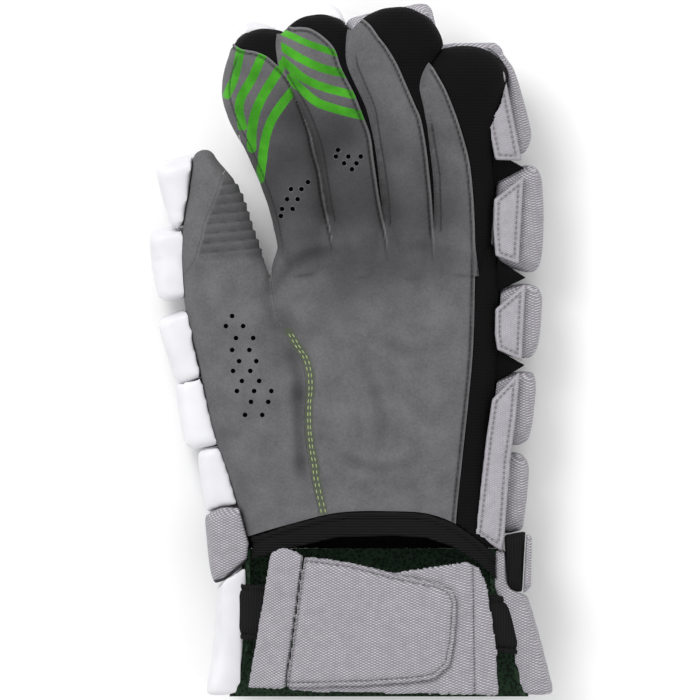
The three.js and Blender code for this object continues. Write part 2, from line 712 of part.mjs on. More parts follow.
// Back of the hand: two columns of three blocks on the floor
const BACK_COLUMNS = [[-0.26, 0.12], [0.14, 0.54]];
const BACK_ROWS = [[-0.1, 0.25], [0.27, 0.62], [0.64, 1.0]];
const BACK_TOP = HAND_CENTRE - 0.2 * HAND_DEPTH;
let backCount = 0;
for (const [left, right] of BACK_COLUMNS) {
  for (const [low, high] of BACK_ROWS) {
    const outline = rounded(left * PALM_WIDTH, right * PALM_WIDTH, low * PALM_LENGTH, high * PALM_LENGTH);
    backCount += 1;
    addPiece(`back_pad_${backCount}`, seated(pad(outline, 0, BACK_TOP, upright), thumbPadsGrown),
      left < 0 ? 'white' : 'grey');
  }
}

// A flap slopes up from the pads' edge to the palm's shoulder.
const FLAP_SLOPE = 0.3;
const FLAP_EDGE = 0.72 * PALM_WIDTH;
const flapPlate = (outline, thickness, lowBy) => pad(outline, SIDE_TOP + GAP - lowBy,
  SIDE_TOP + GAP + thickness, (x, y, z) => lifted(x, y, z + (FLAP_EDGE - x) * FLAP_SLOPE), FLAP_ROUND);
FLAPS.forEach((points, k) => {
  addPiece(`side_flap_${k + 1}`, seated(flapPlate(onPalm(points), FLAP_THICKNESS, 0), tabsGrown), 'grey');
});
const flapsGrown = FLAPS.map((points) => flapPlate(onPalm(points), FLAP_THICKNESS + GAP, GAP));
SIDE_PADS.forEach((points, k) => {
  const clear = [...flapsGrown, ...fingerPadsGrown[fingers.length - 1], ...tabsGrown];
  addPiece(`side_pad_${k + 1}`, seated(sidePad(points, 0), clear), 'grey');
});

// Cuff: an open channel of liner and pads below the wrist, with shares of its own sizes
const CUFF_ROWS = [
  { along: 0.0, centre: 0.078, half: 0.5, depth: 0.46 },
  { along: 0.3, centre: 0.08, half: 0.5, depth: 0.47 },
  { along: 0.65, centre: 0.1, half: 0.54, depth: 0.49 },
  { along: 1.0, centre: 0.11, half: 0.585, depth: 0.52 },
];
const cuff = makeLimb({
  rows: CUFF_ROWS.map((row) => ({
    x: row.centre * CUFF_WIDTH,
    y: CUFF_TOP - row.along * CUFF_LENGTH,
    z: BACK_PAD + CUFF_DEPTH / 2,
    half: row.half * CUFF_WIDTH,
    depth: row.depth * CUFF_DEPTH,
  })).reverse(),
  power: 2.4,
  sides: HAND_SIDES,
});
const cuffLayer = (inner, outer) => tube(cuff, { grow: outer, past: OPEN_END, steps: CUFF_STEPS })
  .subtract(tube(cuff, { grow: inner, past: 2 * OPEN_END, steps: CUFF_STEPS }))
  .intersect(block([-FAR, FAR], [CUFF_TOP - CUFF_LENGTH, CUFF_TOP], [0, TALL]));
const cuffWedge = (start, stop, spare = 0) => wedge(cuff, {
  start: degrees(start), stop: degrees(stop), spare, from: -0.2, to: 1.2, steps: 2, arcs: 6,
});
const cuffGrown = tube(cuff, { grow: GAP, past: OPEN_END, steps: CUFF_STEPS });
addPiece('tab_left', seated(tab(TAB_LEFT), [cuffGrown]), 'grey');
addPiece('tab_right', seated(tab(TAB_RIGHT), [cuffGrown]), 'binding');
addPiece('tab_right_trim', seated(tab(TAB_TRIM), [tab(TAB_RIGHT, GAP), cuffGrown]), 'grey');

const LINER_RANGE = [166, 374];
addPiece('cuff_liner', cuffLayer(-LINER, 0).intersect(cuffWedge(...LINER_RANGE)), 'liner');

const CUFF_PADS = [
  { name: 'cuff_pad_left', start: 158, stop: 228, finish: 'white' },
  { name: 'cuff_pad_back', start: 230, stop: 310, finish: 'grey' },
  { name: 'cuff_pad_right', start: 312, stop: 382, finish: 'grey' },
];
const cuffPadWall = without(cuffLayer(GAP, CUFF_PAD), [...tabsGrown, ...flapsGrown]);
CUFF_PADS.forEach(({ name, start, stop, finish }) => {
  addPiece(name, cuffPadWall.intersect(cuffWedge(start, stop)), finish);
});
const cuffPadRegion = cuffWedge(CUFF_PADS[0].start, CUFF_PADS[2].stop, GAP);

// Binding rolled over the wrist edge of the palm
const bindingBand = below(WRIST_EDGE, 0).subtract(below(WRIST_EDGE, -BINDING_WIDTH));
const bindingRise = (BINDING_THICKNESS - WALL) / 2;
const BINDING_RANGE = [degrees(18), degrees(166)];
const bindingWall = handTube(bindingRise, OPEN_END).subtract(handTube(-WALL - bindingRise, 2 * OPEN_END))
  .intersect(bindingBand).intersect(handWedge(BINDING_RANGE, 0));
const cuffPadsGrown = cuffLayer(0, CUFF_PAD + GAP).intersect(cuffPadRegion);
addPiece('palm_binding', without(bindingWall, [...tabsGrown, ...flapsGrown, cuffPadsGrown]), 'binding');

// Wrist strap: a band from the right, a tab stitched to a rolled end lying on it from the left,
// and the two elastics under its ends. Across is a share of the cuff's width, along of its length.
const onCuff = (points) => points.map(([across, along]) => [
  across * CUFF_WIDTH, CUFF_TOP - along * CUFF_LENGTH,
]);
const STRAP_ROLL = [[-0.304, 0.03], [-0.394, 0.937], [-0.251, 0.941], [-0.182, 0.05], [-0.215, 0.02],
  [-0.261, -0.004]];
const STRAP_TAB = [[-0.178, 0.055], [-0.247, 0.937], [0.07, 0.922], [0.261, 0.896], [0.331, 0.875],
  [0.386, 0.787], [0.405, 0.618], [0.414, 0.362], [0.397, 0.287], [0.347, 0.24], [0.175, 0.178],
  [0, 0.097]];
const STRAP_BAND = [[-0.17, 0.12], [-0.235, 0.95], [0.576, 0.985], [0.565, 0.693], [0.531, 0.26],
  [0.499, 0.138], [0.46, 0.097], [0.175, 0.172]];
const ELASTIC_LEFT = [[-0.43, 0.24], [-0.45, 0.605], [-0.32, 0.63], [-0.29, 0.26]];
const ELASTIC_RIGHT = [[0.49, 0.31], [0.53, 0.693], [0.66, 0.715], [0.61, 0.325]];
const ON_ELASTIC = STRAP_CLEARANCE + ELASTIC_THICKNESS + GAP;
const ON_BAND = ON_ELASTIC + STRAP_THICKNESS + GAP;
const strapPiece = (points, low, high) => without(
  tube(cuff, { grow: high, past: OPEN_END, steps: CUFF_STEPS })
    .subtract(tube(cuff, { grow: low, past: 2 * OPEN_END, steps: CUFF_STEPS }))
    .intersect(prism(onCuff(points), BACK_PAD + CUFF_DEPTH / 2, TALL)),
  [cuffPadRegion, ...tabsGrown],
);
const elastic = (points) => strapPiece(points, STRAP_CLEARANCE, STRAP_CLEARANCE + ELASTIC_THICKNESS);
addPiece('elastic_left', elastic(ELASTIC_LEFT), 'binding');
addPiece('elastic_right', elastic(ELASTIC_RIGHT), 'binding');
addPiece('strap_band', strapPiece(STRAP_BAND, ON_ELASTIC, ON_ELASTIC + STRAP_THICKNESS), 'grey');
addPiece('strap_roll', strapPiece(STRAP_ROLL, ON_ELASTIC, ON_BAND + STRAP_THICKNESS), 'grey');
addPiece('strap_tab', strapPiece(STRAP_TAB, ON_BAND, ON_BAND + STRAP_THICKNESS), 'grey');

// The glove's frame has its origin under the middle of the whole
const whole = new THREE.Box3().setFromObject(group);
const middle = whole.getCenter(new THREE.Vector3());
group.position.set(-middle.x, -middle.y, -whole.min.z);

export default group;
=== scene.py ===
"""Lacrosse glove for the left hand, lying palm up on its padded back: the look of each piece.

Lengths in the tables and functions below are millimetres from the middle of the wrist line,
X across the palm with the thumb at -X, Y towards the fingertips and Z out of the palm.
Meshes are in metres in the frame's own place.
"""

import math

import bmesh
import bpy
import numpy as np
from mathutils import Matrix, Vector, noise
from mathutils.bvhtree import BVHTree


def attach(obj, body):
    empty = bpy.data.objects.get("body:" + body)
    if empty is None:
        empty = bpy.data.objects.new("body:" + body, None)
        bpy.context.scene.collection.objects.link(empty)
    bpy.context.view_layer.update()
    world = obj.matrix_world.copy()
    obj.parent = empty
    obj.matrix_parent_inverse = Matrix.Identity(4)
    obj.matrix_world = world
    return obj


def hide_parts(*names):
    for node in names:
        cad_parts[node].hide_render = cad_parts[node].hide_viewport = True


bl_info = {
    "name": "Lacrosse glove",
    "version": (1, 0, 0),
    "blender": (4, 5, 0),
    "location": "View3D > Sidebar > Glove",
    "description": "Suede palm, mesh gussets, padded back, cuff and strap of a lacrosse glove",
    "category": "Object",
}

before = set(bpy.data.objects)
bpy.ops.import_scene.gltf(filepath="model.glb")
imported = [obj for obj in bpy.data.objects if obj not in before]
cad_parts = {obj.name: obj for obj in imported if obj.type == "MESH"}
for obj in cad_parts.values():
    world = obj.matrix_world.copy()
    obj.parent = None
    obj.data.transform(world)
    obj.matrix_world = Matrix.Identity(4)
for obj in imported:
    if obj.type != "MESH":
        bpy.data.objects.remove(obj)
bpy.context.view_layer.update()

MM = 0.001
WRIST_MIDDLE = np.array([-0.5895, -77.05, 0.0])
PALM_LENGTH, PALM_WIDTH, HAND_DEPTH = 125.0, 110.0, 36.0
WALL, BACK_PAD = 1.8, 12.0
HAND_CENTRE = BACK_PAD + HAND_DEPTH / 2
THUMB_LENGTH, THUMB_WIDTH, THUMB_DEPTH = 168.0, 44.0, 31.0
CUFF_LENGTH, CUFF_WIDTH, CUFF_DEPTH = 68.0, 118.0, 38.0
CUFF_TOP = -0.12 * PALM_LENGTH
LINER = 2.0
GAP = 0.3
FAR, TALL = 150.0, 90.0
UP = np.array([0.0, 0.0, 1.0])


# Sizes and colours that a user may change


class GloveSizes(bpy.types.PropertyGroup):
    """Sizes of the fine detail"""

    voxel: bpy.props.FloatProperty(
        name="Suede mesh", description="Spacing of the suede's mesh", default=0.0008, unit="LENGTH"
    )
    pad_voxel: bpy.props.FloatProperty(
        name="Pad mesh", description="Spacing of the pads' mesh", default=0.0022, unit="LENGTH"
    )
    pad_swell: bpy.props.FloatProperty(
        name="Pad swell", description="How far a pad's cover may swell", default=0.0024, unit="LENGTH"
    )
    hole_width: bpy.props.FloatProperty(
        name="Air hole", description="Width of an air hole", default=0.0022, unit="LENGTH"
    )
    stitch_pitch: bpy.props.FloatProperty(
        name="Stitch pitch", description="Distance between stitches", default=0.0030, unit="LENGTH"
    )
    stitch_length: bpy.props.FloatProperty(
        name="Stitch length", description="Length of one stitch", default=0.0021, unit="LENGTH"
    )
    thread_width: bpy.props.FloatProperty(
        name="Thread width", description="Width of the sewing thread", default=0.00062, unit="LENGTH"
    )


def colour_of(hexa):
    """An sRGB hex colour as linear RGBA."""
    channels = [int(hexa[k : k + 2], 16) / 255 for k in (0, 2, 4)]
    return tuple(c / 12.92 if c <= 0.04045 else ((c + 0.055) / 1.055) ** 2.4 for c in channels) + (1.0,)


def colour_property(name, hexa, description):
    return bpy.props.FloatVectorProperty(
        name=name, description=description, default=colour_of(hexa), size=4, subtype="COLOR", min=0, max=1
    )


class GloveColours(bpy.types.PropertyGroup):
    """Colours of the cloths, coatings and threads"""

    suede: colour_property("Suede", "686769", "Grey microsuede of the palm")
    suede_dark: colour_property("Suede shade", "565557", "Suede with its nap brushed the other way")
    green: colour_property("Green print", "45a31d", "Green film printed on the finger fronts")
    mesh: colour_property("Black mesh", "101012", "Knitted mesh between the fingers")
    woven: colour_property("Grey weave", "b0aeb4", "Coarse woven nylon of straps and side pads")
    woven_light: colour_property("Light thread", "cac8ce", "Thread that lies on top of the weave")
    white: colour_property("White shell", "e2e2e5", "Coated white cover of the thumb and back pads")
    liner: colour_property("Green liner", "2b3f2e", "Dark green spacer mesh inside the cuff")
    webbing: colour_property("Black webbing", "141415", "Ribbed elastic and binding")
    thread: colour_property("Thread", "a8b87c", "Pale green sewing thread")


# Splines and limbs, as in the part's source


def spline(points, ts):
    """Centripetal Catmull-Rom curve through points, at shares ts of its rows."""
    points = np.asarray(points, float)
    ts = np.clip(np.asarray(ts, float), 0, 1)
    count = len(points)
    place = ts * (count - 1)
    k = np.minimum(place.astype(int), count - 2)
    w = (place - k)[:, None]
    padded = np.vstack([2 * points[0] - points[1], points, 2 * points[-1] - points[-2]])
    p0, p1, p2, p3 = (padded[k + j] for j in range(4))

    def root(a, b):
        return np.maximum(np.sqrt(np.linalg.norm(b - a, axis=1)), 1e-4)[:, None]

    d0, d1, d2 = root(p0, p1), root(p1, p2), root(p2, p3)
    m1 = ((p1 - p0) / d0 - (p2 - p0) / (d0 + d1) + (p2 - p1) / d1) * d1
    m2 = ((p2 - p1) / d1 - (p3 - p1) / (d1 + d2) + (p3 - p2) / d2) * d1
    return p1 + m1 * w + (-3 * p1 + 3 * p2 - 2 * m1 - m2) * w**2 + (2 * p1 - 2 * p2 + m1 + m2) * w**3


def unit(vectors):
    return vectors / np.linalg.norm(vectors, axis=-1, keepdims=True)


# Share of a step that is left open at a dome's pole
POLE_SHARE = 0.25


class Limb:
    """A tube of superellipse sections along a curved spine. Rows are x, y, z, half, depth."""

    def __init__(self, rows, power=2.2, dome=0.0, dip=0.0):
        rows = np.array(rows, float)
        self.places = rows[:, :3]
        self.sizes = np.column_stack([rows[:, 3:5], np.zeros(len(rows))])
        self.power, self.dome, self.dip = power, dome, dip
        line = spline(self.places, np.linspace(0, 1, 200))
        self.length = float(np.linalg.norm(np.diff(line, axis=0), axis=1).sum())

    def frames(self, ts):
        inside = np.clip(ts, 0, 1)
        step = 1e-4
        ahead = spline(self.places, np.minimum(inside + step, 1))
        along = unit(ahead - spline(self.places, np.maximum(inside - step, 0)))
        centre = spline(self.places, inside) + along * ((ts - inside) * self.length)[:, None]
        side = unit(np.cross(along, UP))
        up = unit(np.cross(side, along))
        half, depth, _ = spline(self.sizes, inside).T
        return centre, along, side, up, half, depth

    def wall(self, ts, angles, grow=0.0, shrink=1.0, lift=0.0):
        """Points on the wall; ts and angles are broadcast together."""
        ts, angles, shrink, lift = np.broadcast_arrays(ts, angles, shrink, lift)
        centre, along, side, up, half, depth = self.frames(ts.ravel())
        angle, less = angles.ravel(), shrink.ravel()
        bend = 2 / self.power
        cos, sin = np.cos(angle), np.sin(angle)
        across = np.sign(cos) * np.abs(cos) ** bend
        rise = np.sign(sin) * np.abs(sin) ** bend
        sag = self.dip * np.maximum(0, sin) * (1 - across**2)
        points = centre + along * lift.ravel()[:, None]
        points = points + side * (across * (half + grow) * less)[:, None]
        points = points + up * ((rise * (depth + grow) - sag) * less)[:, None]
        return points.reshape(ts.shape + (3,))

    def tube(self, grow=0.0, past=0.0, steps=56, sides=72, dome_steps=14):
        """Rings of the whole tube, with a domed end where the limb has one."""
        angles = np.linspace(0, 2 * np.pi, sides, endpoint=False)
        stations = np.linspace(0, 1, steps + 1)
        if past > 0:
            stations = np.concatenate([[-past], stations, [1 + past] if self.dome == 0 else []])
        rings = self.wall(stations[:, None], angles[None, :], grow)
        if self.dome > 0:
            turn = (np.pi / 2) * np.arange(1, dome_steps + 1) / (dome_steps + POLE_SHARE)
            turn = turn[:, None]
            cap = self.wall(
                np.ones_like(turn), angles[None, :], grow, np.cos(turn), (self.dome + grow) * np.sin(turn)
            )
            rings = np.concatenate([rings, cap])
        return rings

    def wedge(self, span, low=-0.1, high=1.2, spare=0.0, steps=48, arcs=28, reach=1.6):
        """Rings of a wedge round the spine between two angles, which cuts a panel from the wall."""
        base = np.linspace(low, high, steps + 1)
        centre, _, _, _, half, _ = self.frames(base)
        slack = spare / half
        turn = np.linspace(0, 1, arcs + 1)
        first, final = span[0] - slack, span[1] + slack
        angles = first[:, None] + (final - first)[:, None] * turn[None, :]
        points = self.wall(base[:, None], angles, spare, reach)
        return np.concatenate([centre[:, None, :], points], axis=1)


# Tables of the limbs' sections, in shares of the named sizes

# along, centre, half, depth
HAND_ROWS = [
    (-0.3, 0.11, 0.55, 0.54),
    (0.0, 0.092, 0.535, 0.5),
    (0.35, 0.088, 0.506, 0.5),
    (0.6, 0.125, 0.5, 0.5),
    (0.82, 0.145, 0.485, 0.48),
    (1.0, 0.164, 0.455, 0.45),
]
# along, across, half, depth and lift; front is the suede's outline in plan, in shares of the palm
FINGERS = {
    "index": dict(
        root=(-0.188, 1.016), length=98, width=37, depth=32, dome=0.17,
        front=[
            (-0.059, 0.795), (-0.502, 0.795), (-0.669, 1.163), (-0.669, 1.678), (-0.535, 1.759),
            (-0.456, 1.72), (-0.427, 1.715), (-0.389, 1.708), (-0.343, 1.689), (-0.309, 1.663),
            (-0.276, 1.634), (-0.243, 1.593), (-0.197, 1.498), (-0.163, 1.413), (-0.142, 1.328),
            (-0.123, 1.266), (-0.1, 1.144), (-0.071, 1.023), (-0.059, 0.935),
        ],
        rows=[
            (-0.16, 0.014, 0.33, 0.47, 0.0),
            (0.02, -0.009, 0.34, 0.49, 0.0),
            (0.21, -0.047, 0.36, 0.49, 0.01),
            (0.467, -0.121, 0.44, 0.48, 0.04),
            (0.7, -0.195, 0.52, 0.46, 0.1),
            (0.83, -0.172, 0.5, 0.43, 0.16),
        ],
    ),
    "middle": dict(
        root=(0.046, 1.016), length=107, width=36, depth=32, dome=0.19,
        front=[
            (0.163, 0.795), (-0.209, 0.795), (-0.368, 1.531), (-0.397, 1.788), (-0.293, 1.833),
            (-0.247, 1.801), (-0.209, 1.8), (-0.171, 1.796), (-0.13, 1.777), (-0.084, 1.742),
            (-0.061, 1.713), (-0.038, 1.654), (0.021, 1.549), (0.054, 1.476), (0.084, 1.406),
            (0.1, 1.31), (0.125, 1.163), (0.163, 0.986),
        ],
        rows=[
            (-0.16, 0.004, 0.35, 0.48, 0.0),
            (0.02, 0.0, 0.36, 0.5, 0.0),
            (0.19, -0.026, 0.39, 0.5, 0.01),
            (0.415, -0.051, 0.43, 0.49, 0.05),
            (0.607, -0.107, 0.47, 0.48, 0.1),
            (0.79, -0.185, 0.55, 0.45, 0.18),
        ],
    ),
    "ring": dict(
        root=(0.259, 1.016), length=110, width=38, depth=32, dome=0.2,
        front=[
            (0.355, 0.795), (0.163, 0.795), (0.084, 1.347), (-0.042, 1.641), (-0.105, 1.788),
            (-0.071, 1.869), (-0.004, 1.84), (0.046, 1.833), (0.084, 1.808), (0.121, 1.763),
            (0.151, 1.73), (0.197, 1.663), (0.234, 1.59), (0.276, 1.505), (0.293, 1.472),
            (0.314, 1.384), (0.335, 1.236), (0.355, 0.994),
        ],
        rows=[
            (-0.16, 0.0, 0.31, 0.48, 0.0),
            (0.02, 0.0, 0.32, 0.5, 0.0),
            (0.19, -0.004, 0.34, 0.5, 0.02),
            (0.418, -0.021, 0.39, 0.49, 0.06),
            (0.594, -0.034, 0.45, 0.48, 0.12),
            (0.787, -0.07, 0.6, 0.45, 0.2),
        ],
    ),
    "little": dict(
        root=(0.476, 1.034), length=88, width=38, depth=30, dome=0.19,
        front=[
            (0.523, 0.795), (0.364, 0.795), (0.335, 1.2), (0.272, 1.457), (0.209, 1.623),
            (0.251, 1.696), (0.293, 1.656), (0.322, 1.671), (0.343, 1.656), (0.364, 1.627),
            (0.401, 1.568), (0.443, 1.476), (0.473, 1.395), (0.498, 1.31), (0.51, 1.229),
            (0.519, 1.126), (0.523, 1.016),
        ],
        rows=[
            (-0.2, -0.02, 0.33, 0.5, 0.0),
            (0.0, 0.0, 0.35, 0.51, 0.01),
            (0.314, 0.005, 0.38, 0.5, 0.05),
            (0.602, -0.005, 0.46, 0.5, 0.13),
            (0.81, -0.012, 0.57, 0.47, 0.22),
        ],
    ),
}
THUMB_ROOT = (-0.32, 0.0)
# along, across, half, depth, lift
THUMB_ROWS = [
    (-0.1, 0.01, 0.3, 0.46, 0.0),
    (0.0, 0.0, 0.34, 0.47, 0.0),
    (0.137, -0.016, 0.43, 0.49, 0.0),
    (0.274, -0.044, 0.5, 0.5, 0.0),
    (0.44, -0.074, 0.51, 0.5, 0.0),
    (0.6, -0.123, 0.47, 0.48, 0.005),
    (0.74, -0.148, 0.41, 0.45, 0.015),
    (0.87, -0.161, 0.29, 0.38, 0.032),
    (0.975, -0.19, 0.12, 0.24, 0.045),
]
# along, centre, half, depth
CUFF_ROWS = [
    (0.0, 0.078, 0.5, 0.46),
    (0.3, 0.08, 0.5, 0.47),
    (0.65, 0.1, 0.54, 0.49),
    (1.0, 0.11, 0.585, 0.52),
]


def finger_limb(finger):
    x0, y0 = finger["root"][0] * PALM_WIDTH, finger["root"][1] * PALM_LENGTH
    length, width, depth = finger["length"], finger["width"], finger["depth"]
    rows = [
        (x0 + across * length, y0 + along * length, HAND_CENTRE + lift * length, half * width, deep * depth)
        for along, across, half, deep, lift in finger["rows"]
    ]
    return Limb(rows, dome=finger["dome"] * length)


HAND = Limb(
    [
        (centre * PALM_WIDTH, along * PALM_LENGTH, HAND_CENTRE, half * PALM_WIDTH, depth * HAND_DEPTH)
        for along, centre, half, depth in HAND_ROWS
    ],
    power=2.7,
    dome=0.11 * PALM_LENGTH,
    dip=3.0,
)
THUMB = Limb(
    [
        (
            THUMB_ROOT[0] * PALM_WIDTH + across * THUMB_LENGTH,
            THUMB_ROOT[1] * PALM_LENGTH + along * THUMB_LENGTH,
            HAND_CENTRE + lift * THUMB_LENGTH,
            half * THUMB_WIDTH,
            depth * THUMB_DEPTH,
        )
        for along, across, half, depth, lift in THUMB_ROWS
    ],
    dome=0.028 * THUMB_LENGTH,
)
CUFF = Limb(
    [
        (
            centre * CUFF_WIDTH,
            CUFF_TOP - along * CUFF_LENGTH,
            BACK_PAD + CUFF_DEPTH / 2,
            half * CUFF_WIDTH,
            depth * CUFF_DEPTH,
        )
        for along, centre, half, depth in reversed(CUFF_ROWS)
    ],
    power=2.4,
)
LIMBS = {name: finger_limb(finger) for name, finger in FINGERS.items()}
FINGER_NAMES = list(FINGERS)

# Outlines and lines in plan: across is a share of the palm's width, along of its length

WRIST_EDGE = [
    (-0.75, -0.17), (-0.4, -0.07), (-0.243, -0.03), (-0.05, 0.01), (0.19, 0.015), (0.32, 0.007),
    (0.43, -0.026), (0.523, -0.078), (0.66, -0.18),
]
THUMB_SEAM = [
    (-0.11, -0.3), (-0.13, 0.007), (-0.159, 0.132), (-0.192, 0.339), (-0.184, 0.464), (-0.205, 0.581),
    (-0.276, 0.677), (-0.326, 0.828), (-0.33, 0.94), (-0.39, 1.16), (-0.47, 1.42),
]
# across and along are shares of the thumb's length from its root
TIP_SEAM = [
    (-0.092, 0.975), (-0.133, 0.945), (-0.16, 0.873), (-0.19, 0.802), (-0.201, 0.753), (-0.223, 0.69),
    (-0.262, 0.645),
]
DOUBLE_STITCH = [
    (-0.276, 0.677), (-0.243, 0.629), (-0.205, 0.581), (-0.188, 0.53), (-0.184, 0.464), (-0.192, 0.412),
    (-0.192, 0.339), (-0.184, 0.265), (-0.167, 0.191), (-0.159, 0.132), (-0.13, 0.012),
]
# Stripes of the print on the index and middle fronts: half their width in millimetres, then places
STRIPES = [
    (2.0, [(-0.452, 1.74), (-0.47, 1.66), (-0.489, 1.60), (-0.515, 1.55)]),
    (2.1, [(-0.358, 1.713), (-0.409, 1.612), (-0.457, 1.536), (-0.464, 1.493), (-0.45, 1.434)]),
    (2.2, [(-0.282, 1.662), (-0.368, 1.54), (-0.398, 1.476), (-0.41, 1.413), (-0.411, 1.354)]),
    (2.1, [
        (-0.219, 1.59), (-0.315, 1.476), (-0.344, 1.421), (-0.361, 1.35), (-0.368, 1.299), (-0.378, 1.24),
    ]),
    (1.5, [(-0.32, 1.789), (-0.258, 1.772), (-0.186, 1.743), (-0.118, 1.721), (-0.051, 1.7)]),
    (1.9, [(-0.339, 1.751), (-0.282, 1.724), (-0.205, 1.683), (-0.123, 1.65), (-0.022, 1.628)]),
    (1.9, [(-0.31, 1.696), (-0.248, 1.65), (-0.195, 1.612), (-0.109, 1.578), (0.021, 1.548)]),
    (2.0, [(-0.253, 1.612), (-0.193, 1.561), (-0.138, 1.523), (-0.061, 1.498), (0.059, 1.472)]),
]
# Painted shade: darker patches where the fingers turn from the light, in the creases between them and along
# the palm's folds: across, along, half width and depth of the shade
SHADES = [
    (-0.3, 1.28, 18, 0.85), (-0.24, 1.47, 13, 0.8), (-0.28, 1.12, 12, 0.6), (-0.11, 1.35, 12, 0.85),
    (-0.02, 1.42, 13, 0.8), (0.04, 1.18, 18, 0.75), (-0.1, 1.14, 14, 0.75), (0.2, 1.35, 9, 0.5),
    (0.2, 1.12, 14, 0.65), (0.31, 1.28, 8, 0.45), (0.4, 1.15, 14, 0.55), (0.4, 1.4, 9, 0.3),
    (-0.18, 0.98, 12, 0.6), (0.0, 0.93, 14, 0.6), (0.17, 0.93, 15, 0.55), (0.36, 0.95, 13, 0.5),
    (-0.28, 0.7, 7, 0.6),
    (-0.215, 0.45, 5, 0.6), (-0.21, 0.2, 5, 0.55), (-0.24, 0.6, 6, 0.5), (-0.06, 0.78, 10, 0.3),
]
# Soft folds of the palm: depth and half width in millimetres, then places
FOLDS = [
    (1.5, 2.6, [(-0.326, 0.832), (-0.272, 0.905), (-0.167, 0.957), (-0.021, 0.979)]),
    (1.7, 2.4, [
        (-0.289, 0.629), (-0.251, 0.581), (-0.225, 0.53), (-0.215, 0.464), (-0.213, 0.316), (-0.195, 0.1),
    ]),
    (0.9, 2.6, [(0.02, 0.62), (0.10, 0.47), (0.13, 0.33), (0.11, 0.2)]),
    (0.9, 2.4, [(-0.1, 0.28), (0.0, 0.2), (0.13, 0.17), (0.28, 0.2)]),
    (0.8, 2.4, [(0.1, 0.66), (0.24, 0.6), (0.36, 0.62)]),
    (0.5, 1.8, [(0.2, 0.95), (0.3, 0.99), (0.42, 0.97)]),
]
# Air holes: pitch of a row, then across, along and count
HOLE_FIELDS = [
    (0.072, [
        (-0.493, 0.736, 1), (-0.519, 0.699, 2), (-0.477, 0.655, 2), (-0.493, 0.611, 2), (-0.464, 0.57, 2),
        (-0.489, 0.534, 2), (-0.452, 0.497, 2), (-0.473, 0.46, 3), (-0.414, 0.42, 2), (-0.439, 0.372, 2),
    ]),
    (0.044, [
        (-0.176, 1.229, 1), (-0.247, 1.203, 2), (-0.263, 1.166, 2), (-0.284, 1.13, 2), (-0.289, 1.104, 1),
    ]),
    (0.052, [(-0.05, 1.347, 1), (-0.059, 1.323, 3), (-0.025, 1.298, 2), (0.008, 1.276, 1)]),
]
# Across is a share of the cuff's width, along of its length from the cuff's top
STRAP_ROLL = [
    (-0.304, 0.03), (-0.394, 0.937), (-0.251, 0.941), (-0.182, 0.05), (-0.215, 0.02), (-0.261, -0.004),
]
STRAP_TAB = [
    (-0.178, 0.055), (-0.247, 0.937), (0.07, 0.922), (0.261, 0.896), (0.331, 0.875), (0.386, 0.787),
    (0.405, 0.618), (0.414, 0.362), (0.397, 0.287), (0.347, 0.24), (0.175, 0.178), (0.0, 0.097),
]
STRAP_BAND = [
    (-0.17, 0.12), (-0.235, 0.95), (0.576, 0.985), (0.565, 0.693), (0.531, 0.26), (0.499, 0.138),
    (0.46, 0.097), (0.175, 0.172),
]
ELASTIC_LEFT = [(-0.43, 0.24), (-0.45, 0.605), (-0.32, 0.63), (-0.29, 0.26)]
ELASTIC_RIGHT = [(0.49, 0.31), (0.53, 0.693), (0.66, 0.715), (0.61, 0.325)]

# The palm suede's edge towards the little finger, from the top down
PALM_EDGE = [
    (0.523, 1.3), (0.524, 1.0), (0.522, 0.85), (0.514, 0.611), (0.493, 0.405), (0.468, 0.199),
    (0.443, -0.022), (0.43, -0.3),
]
# The flaps on the side pads, in shares of the palm
FLAPS = [
    [(0.644, 1.644), (0.569, 1.472), (0.607, 1.31), (0.72, 1.306)],
    [(0.728, 1.255), (0.602, 1.167), (0.598, 1.064), (0.607, 0.957), (0.707, 0.924)],
    [(0.736, 0.861), (0.607, 0.762), (0.605, 0.67), (0.615, 0.611), (0.719, 0.57)],
    [
        (0.711, 0.537), (0.594, 0.431), (0.569, 0.283), (0.523, -0.07), (0.636, -0.132), (0.648, -0.063),
        (0.669, 0.2), (0.695, 0.364),
    ],
]
# The left tab's edge that is bound in black
TAB_PIPING = [(-0.452, 0.033), (-0.409, -0.103), (-0.418, -0.162), (-0.523, -0.24), (-0.569, -0.25)]

# Angles round a limb, from the little finger's side over the palm
FINGER_FRONT = (0.0, math.radians(188))
HAND_FRONT = (math.radians(38), math.radians(180))
HAND_SIDE = (math.radians(-14), math.radians(38))
SIDE_REACH = math.radians(80)
THUMB_FRONT = (math.radians(-14), math.radians(186))
CUFF_WALL = (math.radians(166), math.radians(374))
LEFT_GROOVE = math.radians(143)


def on_palm(points):
    return np.array(points, float) * (PALM_WIDTH, PALM_LENGTH)


def on_thumb(points):
    return np.array(THUMB_ROOT) * (PALM_WIDTH, PALM_LENGTH) + np.array(points, float) * THUMB_LENGTH


def on_cuff(points):
    return np.array([(x * CUFF_WIDTH, CUFF_TOP - y * CUFF_LENGTH) for x, y in points])


# Mesh helpers


def to_frame(points):
    return (np.asarray(points, float) + WRIST_MIDDLE) * MM


def add_object(name, bm):
    mesh = bpy.data.meshes.new(name)
    bm.to_mesh(mesh)
    bm.free()
    obj = bpy.data.objects.new(name, mesh)
    bpy.context.scene.collection.objects.link(obj)
    return obj


